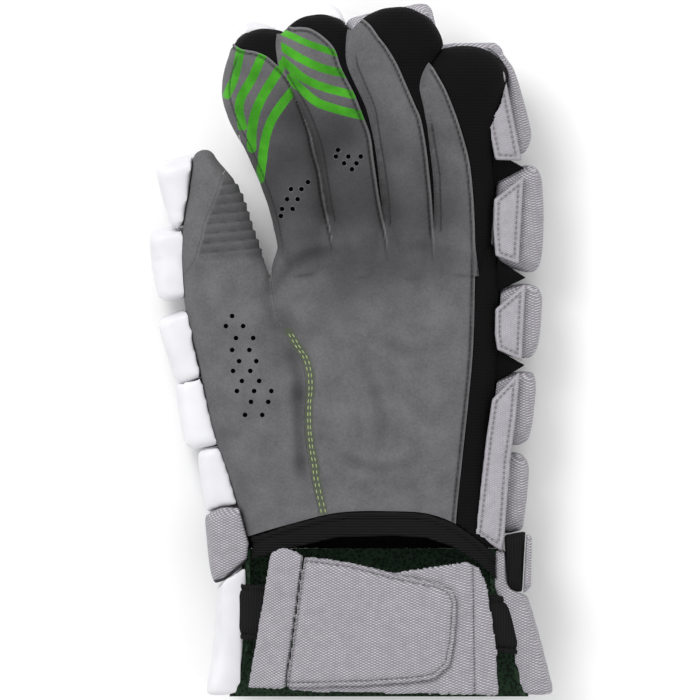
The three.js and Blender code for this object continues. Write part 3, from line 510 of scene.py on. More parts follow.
def loft(name, rings, closed=True):
    """A skin over rings of points; closed rings make a solid with flat ends."""
    rings = to_frame(rings)
    if closed:
        rings = np.concatenate([rings, rings[:, :1]], axis=1)
    rows, columns = rings.shape[:2]
    bm = bmesh.new()
    bmesh.ops.create_grid(bm, x_segments=columns - 1, y_segments=rows - 1, size=1)
    bm.verts.ensure_lookup_table()
    for vert, place in zip(bm.verts, rings.reshape(-1, 3)):
        vert.co = place
    if closed:
        bmesh.ops.remove_doubles(bm, verts=bm.verts, dist=1e-7)
        bmesh.ops.holes_fill(bm, edges=[e for e in bm.edges if e.is_boundary], sides=0)
        bmesh.ops.recalc_face_normals(bm, faces=bm.faces)
    return add_object(name, bm)


def prism(name, outline, low, high):
    """A plan outline extruded straight up."""
    bm = bmesh.new()
    verts = [bm.verts.new(place) for place in to_frame([(x, y, low) for x, y in outline])]
    face = bm.faces.new(verts)
    made = bmesh.ops.extrude_face_region(bm, geom=[face])
    moved = [item for item in made["geom"] if isinstance(item, bmesh.types.BMVert)]
    bmesh.ops.translate(bm, verts=moved, vec=(0, 0, (high - low) * MM))
    bmesh.ops.recalc_face_normals(bm, faces=bm.faces)
    return add_object(name, bm)


def band_of(x, low, high):
    """A straight block towards the little finger from x, between two lines across the palm."""
    return prism("band", [(x, low), (FAR, low), (FAR, high), (x, high)], 0, TALL)


def left_of(line, shift=0.0):
    line = [(x - shift, y) for x, y in line]
    return prism("left", line + [(-FAR, line[-1][1]), (-FAR, line[0][1])], 0, TALL)


def below(line, shift=0.0):
    line = [(x, y + shift) for x, y in line]
    outline = [(-FAR, -FAR), (FAR, -FAR), (FAR, line[-1][1])] + line[::-1] + [(-FAR, line[0][1])]
    return prism("below", outline, 0, TALL)


def beside_palm(shift=0.0):
    """The region towards the little finger from the palm suede's edge."""
    line = smooth_line(on_palm(PALM_EDGE)) + (shift, 0)
    return prism("beside", [*line.tolist(), (FAR, line[-1][1]), (FAR, line[0][1])], 0, TALL)


def smooth_line(points, count=60):
    flat = np.array([(x, y, 0.0) for x, y in points])
    return spline(flat, np.linspace(0, 1, count))[:, :2]


def smooth_ring(points, count=160):
    """A closed smooth outline through plan points."""
    wrapped = np.array(points[-2:] + points + points[:2], float)
    flat = np.column_stack([wrapped, np.zeros(len(wrapped))])
    first, final = 2 / (len(wrapped) - 1), (len(wrapped) - 2) / (len(wrapped) - 1)
    return spline(flat, np.linspace(first, final, count, endpoint=False))[:, :2]


def widened(outline, distance):
    """A counter-clockwise outline moved outwards by a distance."""
    outline = np.asarray(outline, float)
    along = unit(np.roll(outline, -1, axis=0) - np.roll(outline, 1, axis=0))
    return outline + distance * np.column_stack([along[:, 1], -along[:, 0]])


def inside(points, outline):
    """Which points lie in a plan outline."""
    result = np.zeros(len(points), bool)
    x, y = points[:, 0], points[:, 1]
    for (ax, ay), (bx, by) in zip(outline, np.roll(outline, -1, axis=0)):
        crosses = (ay > y) != (by > y)
        slope = (bx - ax) / (by - ay) if by != ay else 0.0
        result ^= crosses & (x < ax + (y - ay) * slope)
    return result


def leftwards(line):
    """The outline of the region to the left of a line in plan."""
    return np.vstack([line, [(-FAR, line[-1][1]), (-FAR, line[0][1])]])


def settle(obj):
    """Applies an object's modifiers."""
    depsgraph = bpy.context.evaluated_depsgraph_get()
    mesh = bpy.data.meshes.new_from_object(obj.evaluated_get(depsgraph))
    old = obj.data
    obj.modifiers.clear()
    obj.data = mesh
    mesh.name = obj.name
    bpy.data.meshes.remove(old)
    return obj


def drop(*objects):
    for obj in objects:
        mesh = obj.data
        bpy.data.objects.remove(obj)
        bpy.data.meshes.remove(mesh)


def copy_of(obj, name):
    twin = bpy.data.objects.new(name, obj.data.copy())
    bpy.context.scene.collection.objects.link(twin)
    return twin


def carve(target, operation, tools, keep=()):
    """Joins, cuts or meets a solid with others, and removes those that aren't kept."""
    for tool in tools:
        modifier = target.modifiers.new("cut", "BOOLEAN")
        modifier.solver = "MANIFOLD"
        modifier.operation = operation
        modifier.object = tool
        settle(target)
        if not target.data.polygons:
            raise RuntimeError(f"{target.name}: nothing is left after a cut by {tool.name}")
    drop(*[tool for tool in tools if tool not in keep])
    return target


def places_of(obj):
    co = np.empty(len(obj.data.vertices) * 3)
    obj.data.vertices.foreach_get("co", co)
    return co.reshape(-1, 3)


def set_places(obj, co):
    obj.data.vertices.foreach_set("co", np.asarray(co, float).ravel())
    obj.data.update()


def normals_of(obj):
    out = np.empty(len(obj.data.vertices) * 3)
    obj.data.vertex_normals.foreach_get("vector", out)
    return out.reshape(-1, 3)


def attribute(obj, name, values):
    layer = obj.data.attributes.new(name, "FLOAT", "POINT")
    layer.data.foreach_set("value", np.asarray(values, float))


def remesh(obj, voxel, rounds=4, factor=0.5):
    modifier = obj.modifiers.new("remesh", "REMESH")
    modifier.mode = "VOXEL"
    modifier.voxel_size = voxel
    settle(obj)
    if rounds:
        modifier = obj.modifiers.new("smooth", "SMOOTH")
        modifier.factor = factor
        modifier.iterations = rounds
        settle(obj)
    return obj


def shade(obj, angle=50):
    obj.data.shade_smooth()
    obj.data.set_sharp_from_angle(angle=math.radians(angle))


def line_distance(points, line):
    """Distance of points to a line of points, and the place along it in millimetres."""
    best = np.full(len(points), 1e9)
    where = np.zeros(len(points))
    run = 0.0
    for a, b in zip(line[:-1], line[1:]):
        span = b - a
        length = float(np.linalg.norm(span))
        share = np.clip(((points - a) @ span) / max(length**2, 1e-9), 0, 1)
        gap = np.linalg.norm(points - a - share[:, None] * span, axis=1)
        nearer = gap < best
        best = np.where(nearer, gap, best)
        where = np.where(nearer, run + share * length, where)
        run += length
    return best, where


def noise_of(points, size, seed=0.0):
    """Smooth noise from -1 to 1 at points in millimetres, with features of about size."""
    return np.array([noise.noise(Vector(p) / size + Vector((seed, 0, 0))) for p in points])


# The most that a piece fills of the rectangle that it is cut from
CUT_SHARE = 0.9


def dress(obj, material, nodes, sheet=None):
    """Gives a finished piece its material and body, and hides the frame nodes that it stands for."""
    obj.data.materials.clear()
    obj.data.materials.append(material)
    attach(obj, "root")
    if nodes:
        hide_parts(*nodes)
    if sheet:
        width, length, area = cut_size(obj)
    return obj


def cut_size(obj):
    """Width, length and area of the cloth that a piece is cut from: one side of its wall, laid flat."""
    area = sum(face.area for face in obj.data.polygons) / 2
    low, high = places_of(obj).min(axis=0), places_of(obj).max(axis=0)
    width, length = (high - low)[:2]
    spread = max(1.0, math.sqrt(area / (CUT_SHARE * width * length)))
    return width * spread, length * spread, area


# Materials


def add(tree, kind, inputs=(), output=0, **settings):
    """Adds a shader node with its settings and links, and returns one of its outputs."""
    made = tree.nodes.new(f"ShaderNode{kind}")
    for key, value in settings.items():
        setattr(made, key, value)
    for key, value in inputs.items() if isinstance(inputs, dict) else enumerate(inputs):
        socket = made.inputs[key]
        if isinstance(value, bpy.types.NodeSocket):
            tree.links.new(value, socket)
        else:
            socket.default_value = value
    return made.outputs[output]


def start_material(name, roughness, sheen=0.0, sheen_roughness=0.5, gloss=0.35):
    """A named material with its even values, or the one that is there already and no tree."""
    found = bpy.data.materials.get(name)
    if found:
        return found, None, None, None
    material = bpy.data.materials.new(name)
    material.use_nodes = True
    tree = material.node_tree
    shader = tree.nodes["Principled BSDF"]
    shader.inputs["Roughness"].default_value = roughness
    shader.inputs["Sheen Weight"].default_value = sheen
    shader.inputs["Sheen Roughness"].default_value = sheen_roughness
    shader.inputs["Specular IOR Level"].default_value = gloss
    return material, tree, shader, add(tree, "TexCoord", output="Object")


def finish_material(tree, shader, base, height, distance, strength):
    """Gives a material its colour and its fine relief, up to distance in metres deep."""
    tree.links.new(base, shader.inputs["Base Color"])
    bump = add(tree, "Bump", {"Height": height, "Distance": distance, "Strength": strength})
    tree.links.new(bump, shader.inputs["Normal"])


def faded(tree, value, low, high, first, second, most=1.0):
    """Goes from one colour to another, by at most a share, while a value goes from low to high."""
    share = add(tree, "MapRange", [value, low, high, 0.0, most])
    return add(tree, "Mix", {0: share, 6: first, 7: second}, output=2, data_type="RGBA")


def marked(tree, base, marks):
    """Colours each of the mesh's marks: its name, where it starts to show, the most and the colour."""
    for name, low, most, colour in marks:
        amount = add(tree, "Attribute", output="Fac", attribute_name=name)
        base = faded(tree, amount, low, 1.0, base, colour_of(colour), most)
    return base


def noise_scale(size):
    """Scale of a noise or cell texture whose features are of about a size in millimetres."""
    return 1 / (size * MM)


def wave_scale(pitch):
    """Scale of a wave texture whose ribs lie a distance apart in millimetres."""
    return 2 * math.pi / (WAVE_TURNS * pitch * MM)


# Radians that a wave texture's bands turn for each unit of its scaled place
WAVE_TURNS = 20
# The print's mark is its distance in from the film's edge plus this, so that no mark, 0, means no film
FILM_EDGE = 5.0
FILM_BLUR = 0.12
SUEDE_MARKS = [
    # darker suede of the grip, darker still in its rib hollows as painted shade
    ("grip", 0.0, 0.55, "333336"),
    # painted shade of the fingers, the creases between them and the palm's folds
    ("shade", 0.0, 1.0, "232325"),
    ("band", 0.0, 0.6, "45503a"),
    # painted highlight on the fingers' turned lips
    ("lip", 0.2, 0.55, "8b8a8c"),
]


def suede_material(colours):
    """Microsuede: a short brushed nap, matt, with clouded light and dark where it was stroked, painted shade
    on the fingers, in its grooves and folds, and painted highlight on its lips.
    """
    material, tree, shader, place = start_material("Brushed microsuede", 0.92, 0.05, 0.6, gloss=0.15)
    if tree is None:
        return material
    stroked = add(tree, "TexNoise", {"Vector": place, "Scale": noise_scale(11.11), "Detail": 4.0})
    nap = add(tree, "TexNoise", {"Vector": place, "Scale": noise_scale(1.111), "Detail": 3.0})
    broad = add(tree, "Math", [stroked, 0.7], operation="MULTIPLY")
    short = add(tree, "Math", [nap, 0.5], operation="MULTIPLY")
    patch = add(tree, "Math", [broad, short], operation="ADD")
    base = faded(tree, patch, 0.42, 0.78, tuple(colours.suede_dark), tuple(colours.suede))
    base = marked(tree, base, SUEDE_MARKS)
    edge = add(tree, "Attribute", output="Fac", attribute_name="print")
    uneven = add(tree, "Math", [nap, 0.5], operation="SUBTRACT")
    worn = add(tree, "Math", [uneven, 0.4], operation="MULTIPLY")
    within = add(tree, "Math", [edge, worn], operation="ADD")
    film = add(tree, "MapRange", [within, FILM_EDGE - FILM_BLUR, FILM_EDGE + FILM_BLUR])
    green = faded(tree, stroked, 0.35, 0.7, colour_of("2f7f0e"), tuple(colours.green))
    base = faded(tree, film, 0.0, 1.0, base, green)
    # painted shade in the seams' grooves, at the palm's edge and in its folds
    base = marked(tree, base, [("seam", 0.0, 0.88, "161617")])
    tree.links.new(add(tree, "MapRange", [film, 0.0, 1.0, 0.92, 0.5]), shader.inputs["Roughness"])
    clouds = add(tree, "Math", [stroked, 1.5], operation="MULTIPLY")
    height = add(tree, "Math", [nap, clouds], operation="ADD")
    finish_material(tree, shader, base, height, distance=0.35 * MM, strength=0.6)
    return material


def mesh_material(colours):
    """Knitted nylon mesh: fine ribs along the finger and a dull black sheen."""
    material, tree, shader, place = start_material("Knitted black mesh", 0.85, gloss=0.12)
    if tree is None:
        return material
    ribs = []
    for pitch, distortion, direction in ((1.0472, 0.6, "X"), (1.428, 0.8, "Y")):
        inputs = {"Vector": place, "Scale": wave_scale(pitch), "Distortion": distortion}
        ribs.append(add(tree, "TexWave", inputs, bands_direction=direction))
    knit = add(tree, "Math", ribs, operation="MULTIPLY")
    base = faded(tree, knit, 0.0, 1.0, colour_of("060607"), tuple(colours.mesh), most=0.8)
    finish_material(tree, shader, base, knit, distance=0.3 * MM, strength=0.7)
    return material


# Length of a light dash and distance between its rows, in threads
DASH_LENGTH, DASH_PITCH = 2.6, 1.25
# How far the weave shifts with height, so that it runs on round an edge
SHIFT_ACROSS, SHIFT_ALONG = 0.9, 0.35


def woven_material(colours, name="Woven grey nylon", thread_width=1.0, ground="817e85"):
    """Coarse nylon weave: light floats in short dashes over a darker ground, slightly glossy thread.

    The threads are drawn about twice as wide as they are, so that they show.
    """
    material, tree, shader, place = start_material(name, 0.6, 0.03, 0.4)
    if tree is None:
        return material
    parts = add(tree, "SeparateXYZ", [place]).node.outputs
    waves = []
    for part, shift, length in ((parts[0], SHIFT_ACROSS, DASH_LENGTH), (parts[1], SHIFT_ALONG, DASH_PITCH)):
        lean = add(tree, "Math", [parts[2], shift], operation="MULTIPLY")
        slanted = add(tree, "Math", [part, lean], operation="ADD")
        turn = 2 * math.pi / (length * thread_width * MM)
        angle = add(tree, "Math", [slanted, turn], operation="MULTIPLY")
        waves.append(add(tree, "Math", [angle], operation="SINE"))
    product = add(tree, "Math", waves, operation="MULTIPLY")
    dashes = add(tree, "MapRange", [product, -0.25, 0.55])
    uneven = add(tree, "TexNoise", {"Vector": place, "Scale": noise_scale(3.846), "Detail": 3.0})
    thread = faded(tree, uneven, 0.3, 0.7, tuple(colours.woven), tuple(colours.woven_light))
    base = faded(tree, dashes, 0.0, 1.0, colour_of(ground), thread)
    # the seam mark: the left tab's black piping, and painted shade in sunk rows of stitches, at cut edges
    # and beside the tab
    base = marked(tree, base, [("seam", 0.0, 0.95, "1f1e20")])
    finish_material(tree, shader, base, dashes, distance=0.4 * MM, strength=0.8)
    return material


def white_material(colours):
    """Coated synthetic leather: smooth, bright white, with a faint grain and a soft gloss."""
    material, tree, shader, place = start_material("Coated white shell", 0.42)
    if tree is None:
        return material
    grain = add(tree, "TexNoise", {"Vector": place, "Scale": noise_scale(1.4286), "Detail": 2.0})
    uneven = add(tree, "TexNoise", {"Vector": place, "Scale": noise_scale(16.667), "Detail": 2.0})
    base = faded(tree, uneven, 0.3, 0.7, colour_of("d6d6da"), tuple(colours.white))
    base = marked(tree, base, [("seam", 0.0, 0.5, "8e8e94")])
    finish_material(tree, shader, base, grain, distance=0.1 * MM, strength=0.5)
    return material


def liner_material(colours):
    """Spacer mesh: dark green knit with small open cells, 1.5 mm wide."""
    material, tree, shader, place = start_material("Green spacer mesh", 0.85, gloss=0.12)
    if tree is None:
        return material
    cells = add(tree, "TexVoronoi", {"Vector": place, "Scale": noise_scale(1.5385)})
    base = faded(tree, cells, 0.2, 0.7, colour_of("141c15"), tuple(colours.liner))
    finish_material(tree, shader, base, cells, distance=0.4 * MM, strength=0.8)
    return material


def webbing_material(colours, name="Ribbed black elastic", direction="X"):
    """Woven elastic or tape: black, ribbed along its length, with a little gloss on each rib."""
    material, tree, shader, place = start_material(name, 0.7, gloss=0.15)
    if tree is None:
        return material
    inputs = {"Vector": place, "Scale": wave_scale(1.2083), "Distortion": 0.3}
    cords = add(tree, "TexWave", inputs, bands_direction=direction)
    base = faded(tree, cords, 0.0, 1.0, colour_of("070708"), tuple(colours.webbing))
    finish_material(tree, shader, base, cords, distance=0.4 * MM, strength=0.9)
    return material


def thread_material(colours):
    """Bonded nylon sewing thread, twisted, with a slight gloss and painted shade in the hollows of its
    twist.
    """
    material, tree, shader, place = start_material("Pale sewing thread", 0.5, 0.1)
    if tree is None:
        return material
    light = tuple(colours.thread)
    dark = tuple(0.55 * channel for channel in light[:3]) + (1.0,)
    # painted shade in the twist's hollows
    twist = add(tree, "TexWave", {"Vector": place, "Scale": wave_scale(0.349)}, bands_direction="DIAGONAL")
    tree.links.new(faded(tree, twist, 0.0, 1.0, dark, light), shader.inputs["Base Color"])
    return material


# Seam lines on the limbs


def front_outline(name):
    """The suede's outline on a finger's front, counter-clockwise in plan."""
    return smooth_ring(on_palm(FINGERS[name]["front"][::-1]).tolist())


def front_region(name, spare=0.0):
    """The wedge of a finger that its suede front covers."""
    region = loft("front", LIMBS[name].wedge(FINGER_FRONT, high=1.4, spare=spare))
    return carve(region, "INTERSECT", [prism("outline", widened(front_outline(name), spare), 0, TALL)])


# Width of the fingers' turned edge, and the distance between its stitches
LIP = 1.5
LIP_STITCH = 2.6


def seam_relief(points, line, width, depth=0.55, lip=0.35, groove=0.6):
    """Height, darkness and lip of a turned edge: a rounded lip, then a stitched groove. The darkness is
    painted shade in the groove, and the lip is the share of painted highlight on the lip.
    """
    gap, where = line_distance(points, line)
    height = lip * np.sin(np.pi * np.clip(gap / width, 0, 1)) * (gap < width)
    dip = np.exp(-(((gap - width) / groove) ** 2))
    near = np.exp(-(((gap - width) / (2 * groove)) ** 2))
    pucker = 1 + 0.25 * np.sin(where * 2 * np.pi / LIP_STITCH) * near
    return height - depth * dip * pucker, dip * np.clip(pucker, 0, 1), height / max(lip, 1e-6)


# Pieces


FINGER_SLIT = 1.1


def glove_body(voxel):
    """Hand, thumb and fingers as one smooth solid."""
    body = loft("body", HAND.tube(sides=160, steps=90))
    carve(body, "UNION", [loft("thumb", THUMB.tube(steps=90, sides=96))])
    for k, name in enumerate(FINGER_NAMES):
        finger = loft(name, LIMBS[name].tube(steps=70, sides=96))
        if k + 1 < len(FINGER_NAMES):
            beside = LIMBS[FINGER_NAMES[k + 1]].tube(grow=FINGER_SLIT, steps=70, sides=96)
            carve(finger, "DIFFERENCE", [loft("next", beside)])
        carve(body, "UNION", [finger])
    remesh(body, voxel, rounds=9)
    return body


def hollow():
    """The space inside the hand, thumb and fingers."""
    inner = loft("hollow", HAND.tube(grow=-WALL, past=0.05, sides=80, steps=40))
    carve(inner, "UNION", [loft("thumb", THUMB.tube(grow=-WALL, past=0.05))])
    for name in FINGER_NAMES:
        carve(inner, "UNION", [loft(name, LIMBS[name].tube(grow=-WALL))])
    return inner


# The ribbed grip: shares of the thumb's length that it spans and fades in, then its ribs
GRIP_LOW, GRIP_HIGH, GRIP_FADE = 0.7, 0.93, 0.02
GRIP_MARGIN, GRIP_SIDE = 0.8, 4.0
RIB_PITCH, RIB_HEIGHT, RIB_SLOPE, RIB_CLIMB = 4.4, 1.1, 0.1, 0.8
# The slit between two panels that are sewn together
SEAM_GAP = 0.12
# The raised band under the double row of stitches
BAND_SHIFT, BAND_HALF, BAND_BLUR, BAND_RISE = 2.1, 2.3, 0.5, 0.3
# Soft unevenness of the suede: height, size and seed
UNEVEN = [(0.28, 14.0, 0.0), (0.12, 5.0, 7.0)]
# Where the fingers' seams fade out towards the palm, in shares of its length
SEAMS_LOW, SEAMS_FADE = 0.91, 0.14
PALM_LIP = 1.4
STRIPES_A_FINGER = 4
PRINT_LOW = 1.2


def grip_ribs(points):
    """The ribbed grip inside the thumb: height, and how far the darker suede reaches, darker still in each
    rib's hollow as painted shade.
    """
    gap, _ = line_distance(points[:, :2], smooth_line(on_thumb(TIP_SEAM)))
    thumb_side = inside(points, leftwards(on_palm(THUMB_SEAM)))
    outer = inside(points, leftwards(on_thumb(TIP_SEAM[::-1])))
    along = (points[:, 1] - THUMB_ROOT[1] * PALM_LENGTH) / THUMB_LENGTH
    zone = np.clip((along - GRIP_LOW) / GRIP_FADE, 0, 1) * np.clip((GRIP_HIGH - along) / GRIP_FADE, 0, 1)
    zone = zone * np.clip(gap - GRIP_MARGIN, 0, 1) * thumb_side * ~outer
    zone = zone * (points[:, 2] > HAND_CENTRE - GRIP_SIDE)
    turn = ((points[:, 1] - RIB_SLOPE * points[:, 0]) / RIB_PITCH) % 1
    step = np.where(turn < RIB_CLIMB, turn / RIB_CLIMB, (1 - turn) / (1 - RIB_CLIMB))
    # darker in each rib's hollow: painted shade
    return RIB_HEIGHT * zone * (step - 0.5), zone * (0.35 + 0.65 * (1 - step))


def nearest_limb(points):
    """Which finger's wall each point lies on."""
    misses = []
    for limb in LIMBS.values():
        ts = np.linspace(-0.1, 1, 110)
        centre, along, side, up, half, depth = limb.frames(ts)
        _, where = line_distance(points, centre)
        run = np.concatenate([[0], np.cumsum(np.linalg.norm(np.diff(centre, axis=0), axis=1))])
        at = np.clip(np.searchsorted(run, where), 0, len(ts) - 1)
        away = points - centre[at]
        across = np.abs((away * side[at]).sum(axis=1) / half[at]) ** limb.power
        rise = np.abs((away * up[at]).sum(axis=1) / depth[at]) ** limb.power
        past = (away * along[at]).sum(axis=1) / limb.dome * (at == len(ts) - 1)
        misses.append(np.abs(np.hypot((across + rise) ** (1 / limb.power), past) - 1))
    return np.argmin(misses, axis=0)


def finger_seams(points, owner, high, fade):
    """Turned edges and side grooves of the finger fronts: height, painted shade in the grooves, and painted
    highlight on the lips.
    """
    height, seam, lip_highlight = np.zeros((3, len(points)))
    for k, name in enumerate(FINGER_NAMES):
        outline = front_outline(name)
        near = np.flatnonzero(high & (owner == k) & inside(points, outline))
        edge, dark, lip = seam_relief(points[near, :2], np.vstack([outline, outline[:1]]), LIP)
        line = LIMBS[name].wall(np.linspace(0.12, 1.1, 60), np.full(60, LEFT_GROOVE))
        groove, shade_of_groove, _ = seam_relief(points[near], line, 1e-6, lip=0.0)
        height[near] = (edge + groove) * fade[near]
        # painted shade in the turned edge's groove and in the side groove
        seam[near] = np.maximum(dark, 0.8 * shade_of_groove) * fade[near]
        # painted highlight on the lip
        lip_highlight[near] = lip * fade[near]
    return height, seam, lip_highlight


def palm_folds(points, front):
    """Soft folds of the palm: height, and painted shade in the folds."""
    height, seam = np.zeros((2, len(points)))
    for depth, width, line in FOLDS:
        gap, where = line_distance(points[:, :2], smooth_line(on_palm(line)))
        total = max(where.max(), 1.0)
        fade = np.sin(np.pi * np.clip(where / total, 0.04, 0.96)) ** 0.5
        fold = np.exp(-((gap / width) ** 2)) * fade * front
        side = np.exp(-(((gap - 2 * width) / width) ** 2)) * fade * front
        height += depth * (0.35 * side - fold)
        # painted shade in the fold
        seam = np.maximum(seam, 0.25 * depth * fold)
    return height, seam


def printed_film(points, owner):
    """How far each point lies in from the edge of a printed stripe, plus the film's edge."""
    film = np.zeros(len(points))
    for number, (half, line) in enumerate(STRIPES):
        gap, _ = line_distance(points[:, :2], smooth_line(on_palm(line), 30))
        film = np.maximum(film, (half - gap + FILM_EDGE) * (owner == number // STRIPES_A_FINGER))
    film[(points[:, 2] < HAND_CENTRE) | (points[:, 1] < PRINT_LOW * PALM_LENGTH)] = 0.0
    return film


def painted_shade(points, front):
    """How dark the painted shade makes the suede at each point."""
    light = np.ones(len(points))
    for across, along, reach, dark in SHADES:
        gap = np.linalg.norm(points[:, :2] - on_palm([(across, along)])[0], axis=1)
        light = light * (1 - dark * np.exp(-((gap / reach) ** 2)) * front)
    return SHADE_DEPTH * (1 - light)


SHADE_DEPTH = 0.85


def body_relief(body):
    """Folds, lips and grooves of the suede, as height in millimetres and marks for its material, with
    painted shade and painted highlight among the marks.
    """
    points = places_of(body) / MM - WRIST_MIDDLE
    front = points[:, 2] > HAND_CENTRE
    thumb_side = inside(points, leftwards(on_palm(THUMB_SEAM)))
    high = (points[:, 1] > 0.9 * PALM_LENGTH) & (points[:, 2] > HAND_CENTRE - 6) & ~thumb_side
    fade = np.clip((points[:, 1] / PALM_LENGTH - SEAMS_LOW) / SEAMS_FADE, 0, 1)
    owner = nearest_limb(points)
    seams, seam, lip_highlight = finger_seams(points, owner, high, fade)
    # the palm edge's lip and groove, with painted shade in the groove
    edge, edge_shade, _ = seam_relief(points[:, :2], smooth_line(on_palm(PALM_EDGE)), PALM_LIP)
    below_fingers = front * (1 - fade)
    folds, fold_shade = palm_folds(points, front)
    ribbed, zone = grip_ribs(points)
    gap, _ = line_distance(points[:, :2], smooth_line(on_palm(DOUBLE_STITCH) + (BAND_SHIFT, 0)))
    band = np.clip((BAND_HALF - gap) / BAND_BLUR, 0, 1) * front
    height = seams + edge * below_fingers + folds + ribbed + BAND_RISE * band
    for depth, size, seed in UNEVEN:
        height += depth * noise_of(points, size, seed)
    set_places(body, places_of(body) + normals_of(body) * (height * MM)[:, None])
    # painted shade in the grooves of the finger seams, at the palm's edge and in the folds
    attribute(body, "seam", np.maximum(np.maximum(seam, edge_shade * below_fingers), fold_shade))
    attribute(body, "grip", zone)
    attribute(body, "print", printed_film(points, owner))
    # painted shade of the fingers, the creases between them and the palm's folds
    attribute(body, "shade", painted_shade(points, front))
    attribute(body, "band", band)
    # painted highlight on the fingers' turned lips
    attribute(body, "lip", lip_highlight)


def suede_region():
    """Where the suede covers the hand, thumb and fingers."""
    region = loft("region", HAND.wedge(HAND_FRONT, reach=1.3))
    near_hand = loft("near", HAND.tube(grow=2.0, steps=40, sides=80))
    carve(region, "INTERSECT", [near_hand])
    carve(region, "DIFFERENCE", [beside_palm()])
    thumb = loft("thumb", THUMB.wedge(THUMB_FRONT, high=1.25))
    carve(thumb, "INTERSECT", [loft("near", THUMB.tube(grow=2.0))])
    carve(region, "UNION", [thumb])
    for name in FINGER_NAMES:
        front = front_region(name)
        carve(front, "INTERSECT", [loft("near", LIMBS[name].tube(grow=2.0))])
        carve(region, "UNION", [front])
    return region


def hole_cutters(width):
    """One mesh of round punches for the air holes."""
    bm = bmesh.new()
    for pitch, rows in HOLE_FIELDS:
        for across, along, count in rows:
            for k in range(count):
                x, y = on_palm([(across + k * pitch, along)])[0]
                made = bmesh.ops.create_cone(
                    bm, cap_ends=True, segments=14, radius1=width / 2, radius2=width / 2, depth=TALL * MM / 2
                )
                place = to_frame((x, y, HAND_CENTRE + TALL / 4))
                bmesh.ops.translate(bm, verts=made["verts"], vec=Vector(place))
    return add_object("punches", bm)


class GLOVE_OT_suede(bpy.types.Operator):
    """Sew the suede palm, finger fronts and thumb panels"""

    bl_idname = "glove.suede"
    bl_label = "Suede palm"

    def execute(self, context):
        sizes = context.scene.glove_sizes
        suede = suede_material(context.scene.glove_colours)
        body = glove_body(sizes.voxel)
        body_relief(body)
        region = suede_region()
        carve(region, "DIFFERENCE", [below(smooth_line(on_palm(WRIST_EDGE)).tolist(), GAP)])
        carve(body, "INTERSECT", [region])
        carve(body, "DIFFERENCE", [hollow(), hole_cutters(sizes.hole_width)])
        seam = smooth_line(on_palm(THUMB_SEAM)).tolist()
        tip = smooth_line(on_thumb(TIP_SEAM[::-1])).tolist()
        palm = carve(copy_of(body, "suede_palm"), "DIFFERENCE", [left_of(seam)])
        thumb = carve(body, "INTERSECT", [left_of(seam, SEAM_GAP)])
        front = carve(copy_of(thumb, "suede_thumb"), "DIFFERENCE", [left_of(tip)])
        outer = carve(thumb, "INTERSECT", [left_of(tip, SEAM_GAP)])
        outer.name = "suede_thumb_tip"
        for obj, node in ((palm, "palm_panel"), (front, "thumb_panel"), (outer, "thumb_tip_panel")):
            shade(obj)
            dress(obj, suede, [node], sheet="stretched")
        return {"FINISHED"}


def wedge_of(limb, span, spare, reach=1.6):
    return loft("wedge", limb.wedge(span, spare=spare, reach=reach))


# How far the mesh lies below the suede
SUNK = 0.5
# The gap between a finger's mesh and the next finger
MESH_SLIT = 0.6


class GLOVE_OT_gussets(bpy.types.Operator):
    """Fit the black mesh between the fingers, along the palm's edge and over the back"""

    bl_idname = "glove.gussets"
    bl_label = "Mesh gussets"

    def execute(self, context):
        mesh = mesh_material(context.scene.glove_colours)
        for k, name in enumerate(FINGER_NAMES):
            limb = LIMBS[name]
            obj = loft(f"mesh_{name}", limb.tube(grow=-SUNK, steps=80, sides=110, dome_steps=24))
            tools = [loft("inner", limb.tube(grow=-WALL)), front_region(name, GAP)]
            tools.append(loft("hand", HAND.tube(grow=GAP - SUNK)))
            if k + 1 < len(FINGER_NAMES):
                tools.append(loft("next", LIMBS[FINGER_NAMES[k + 1]].tube(grow=MESH_SLIT)))
            carve(obj, "DIFFERENCE", tools)
            if name == "little":
                carve(obj, "UNION", [web_of("little_gusset", FINGER_WEB)])
            wrinkle(obj, height=0.35, size=7.0)
            shade(obj)
            dress(obj, mesh, [f"{name}_gusset"], sheet="stretched")
        cut = [(-FAR, CUFF_TOP), (FAR, CUFF_TOP)]
        edge = smooth_line(on_palm(WRIST_EDGE)).tolist()
        side = loft("mesh_palm_side", HAND.tube(grow=-SUNK, sides=160, steps=90))
        inner = loft("inner", HAND.tube(grow=-WALL, past=0.05, sides=80))
        carve(side, "DIFFERENCE", [inner, below(edge, GAP)])
        carve(side, "INTERSECT", [wedge_of(HAND, (HAND_SIDE[0], SIDE_REACH), -2 * GAP)])
        carve(side, "INTERSECT", [beside_palm(GAP)])
        carve(side, "DIFFERENCE", [below(cut, GAP)])
        carve(side, "UNION", [web_of("palm_side_gusset", span) for span in PALM_WEBS])
        wrinkle(side, height=0.5, size=9.0)
        back = loft("mesh_back", HAND.tube(grow=-SUNK, sides=120, steps=60))
        carve(back, "UNION", [loft("thumb", THUMB.tube(grow=-SUNK))])
        carve(back, "DIFFERENCE", [
            loft("inner", HAND.tube(grow=-WALL, past=0.05, sides=80)),
            loft("inner", THUMB.tube(grow=-WALL, past=0.05)),
            wedge_of(HAND, (HAND_SIDE[0], HAND_FRONT[1]), GAP),
            wedge_of(THUMB, THUMB_FRONT, GAP),
            below(cut, GAP),
        ])
        for name in FINGER_NAMES:
            front = front_region(name, GAP)
            carve(front, "INTERSECT", [loft("near", LIMBS[name].tube(grow=GAP))])
            carve(back, "DIFFERENCE", [front])
        for obj, node in ((side, "palm_side_gusset"), (back, "back_shell")):
            shade(obj)
            dress(obj, mesh, [node], sheet="stretched")
        return {"FINISHED"}


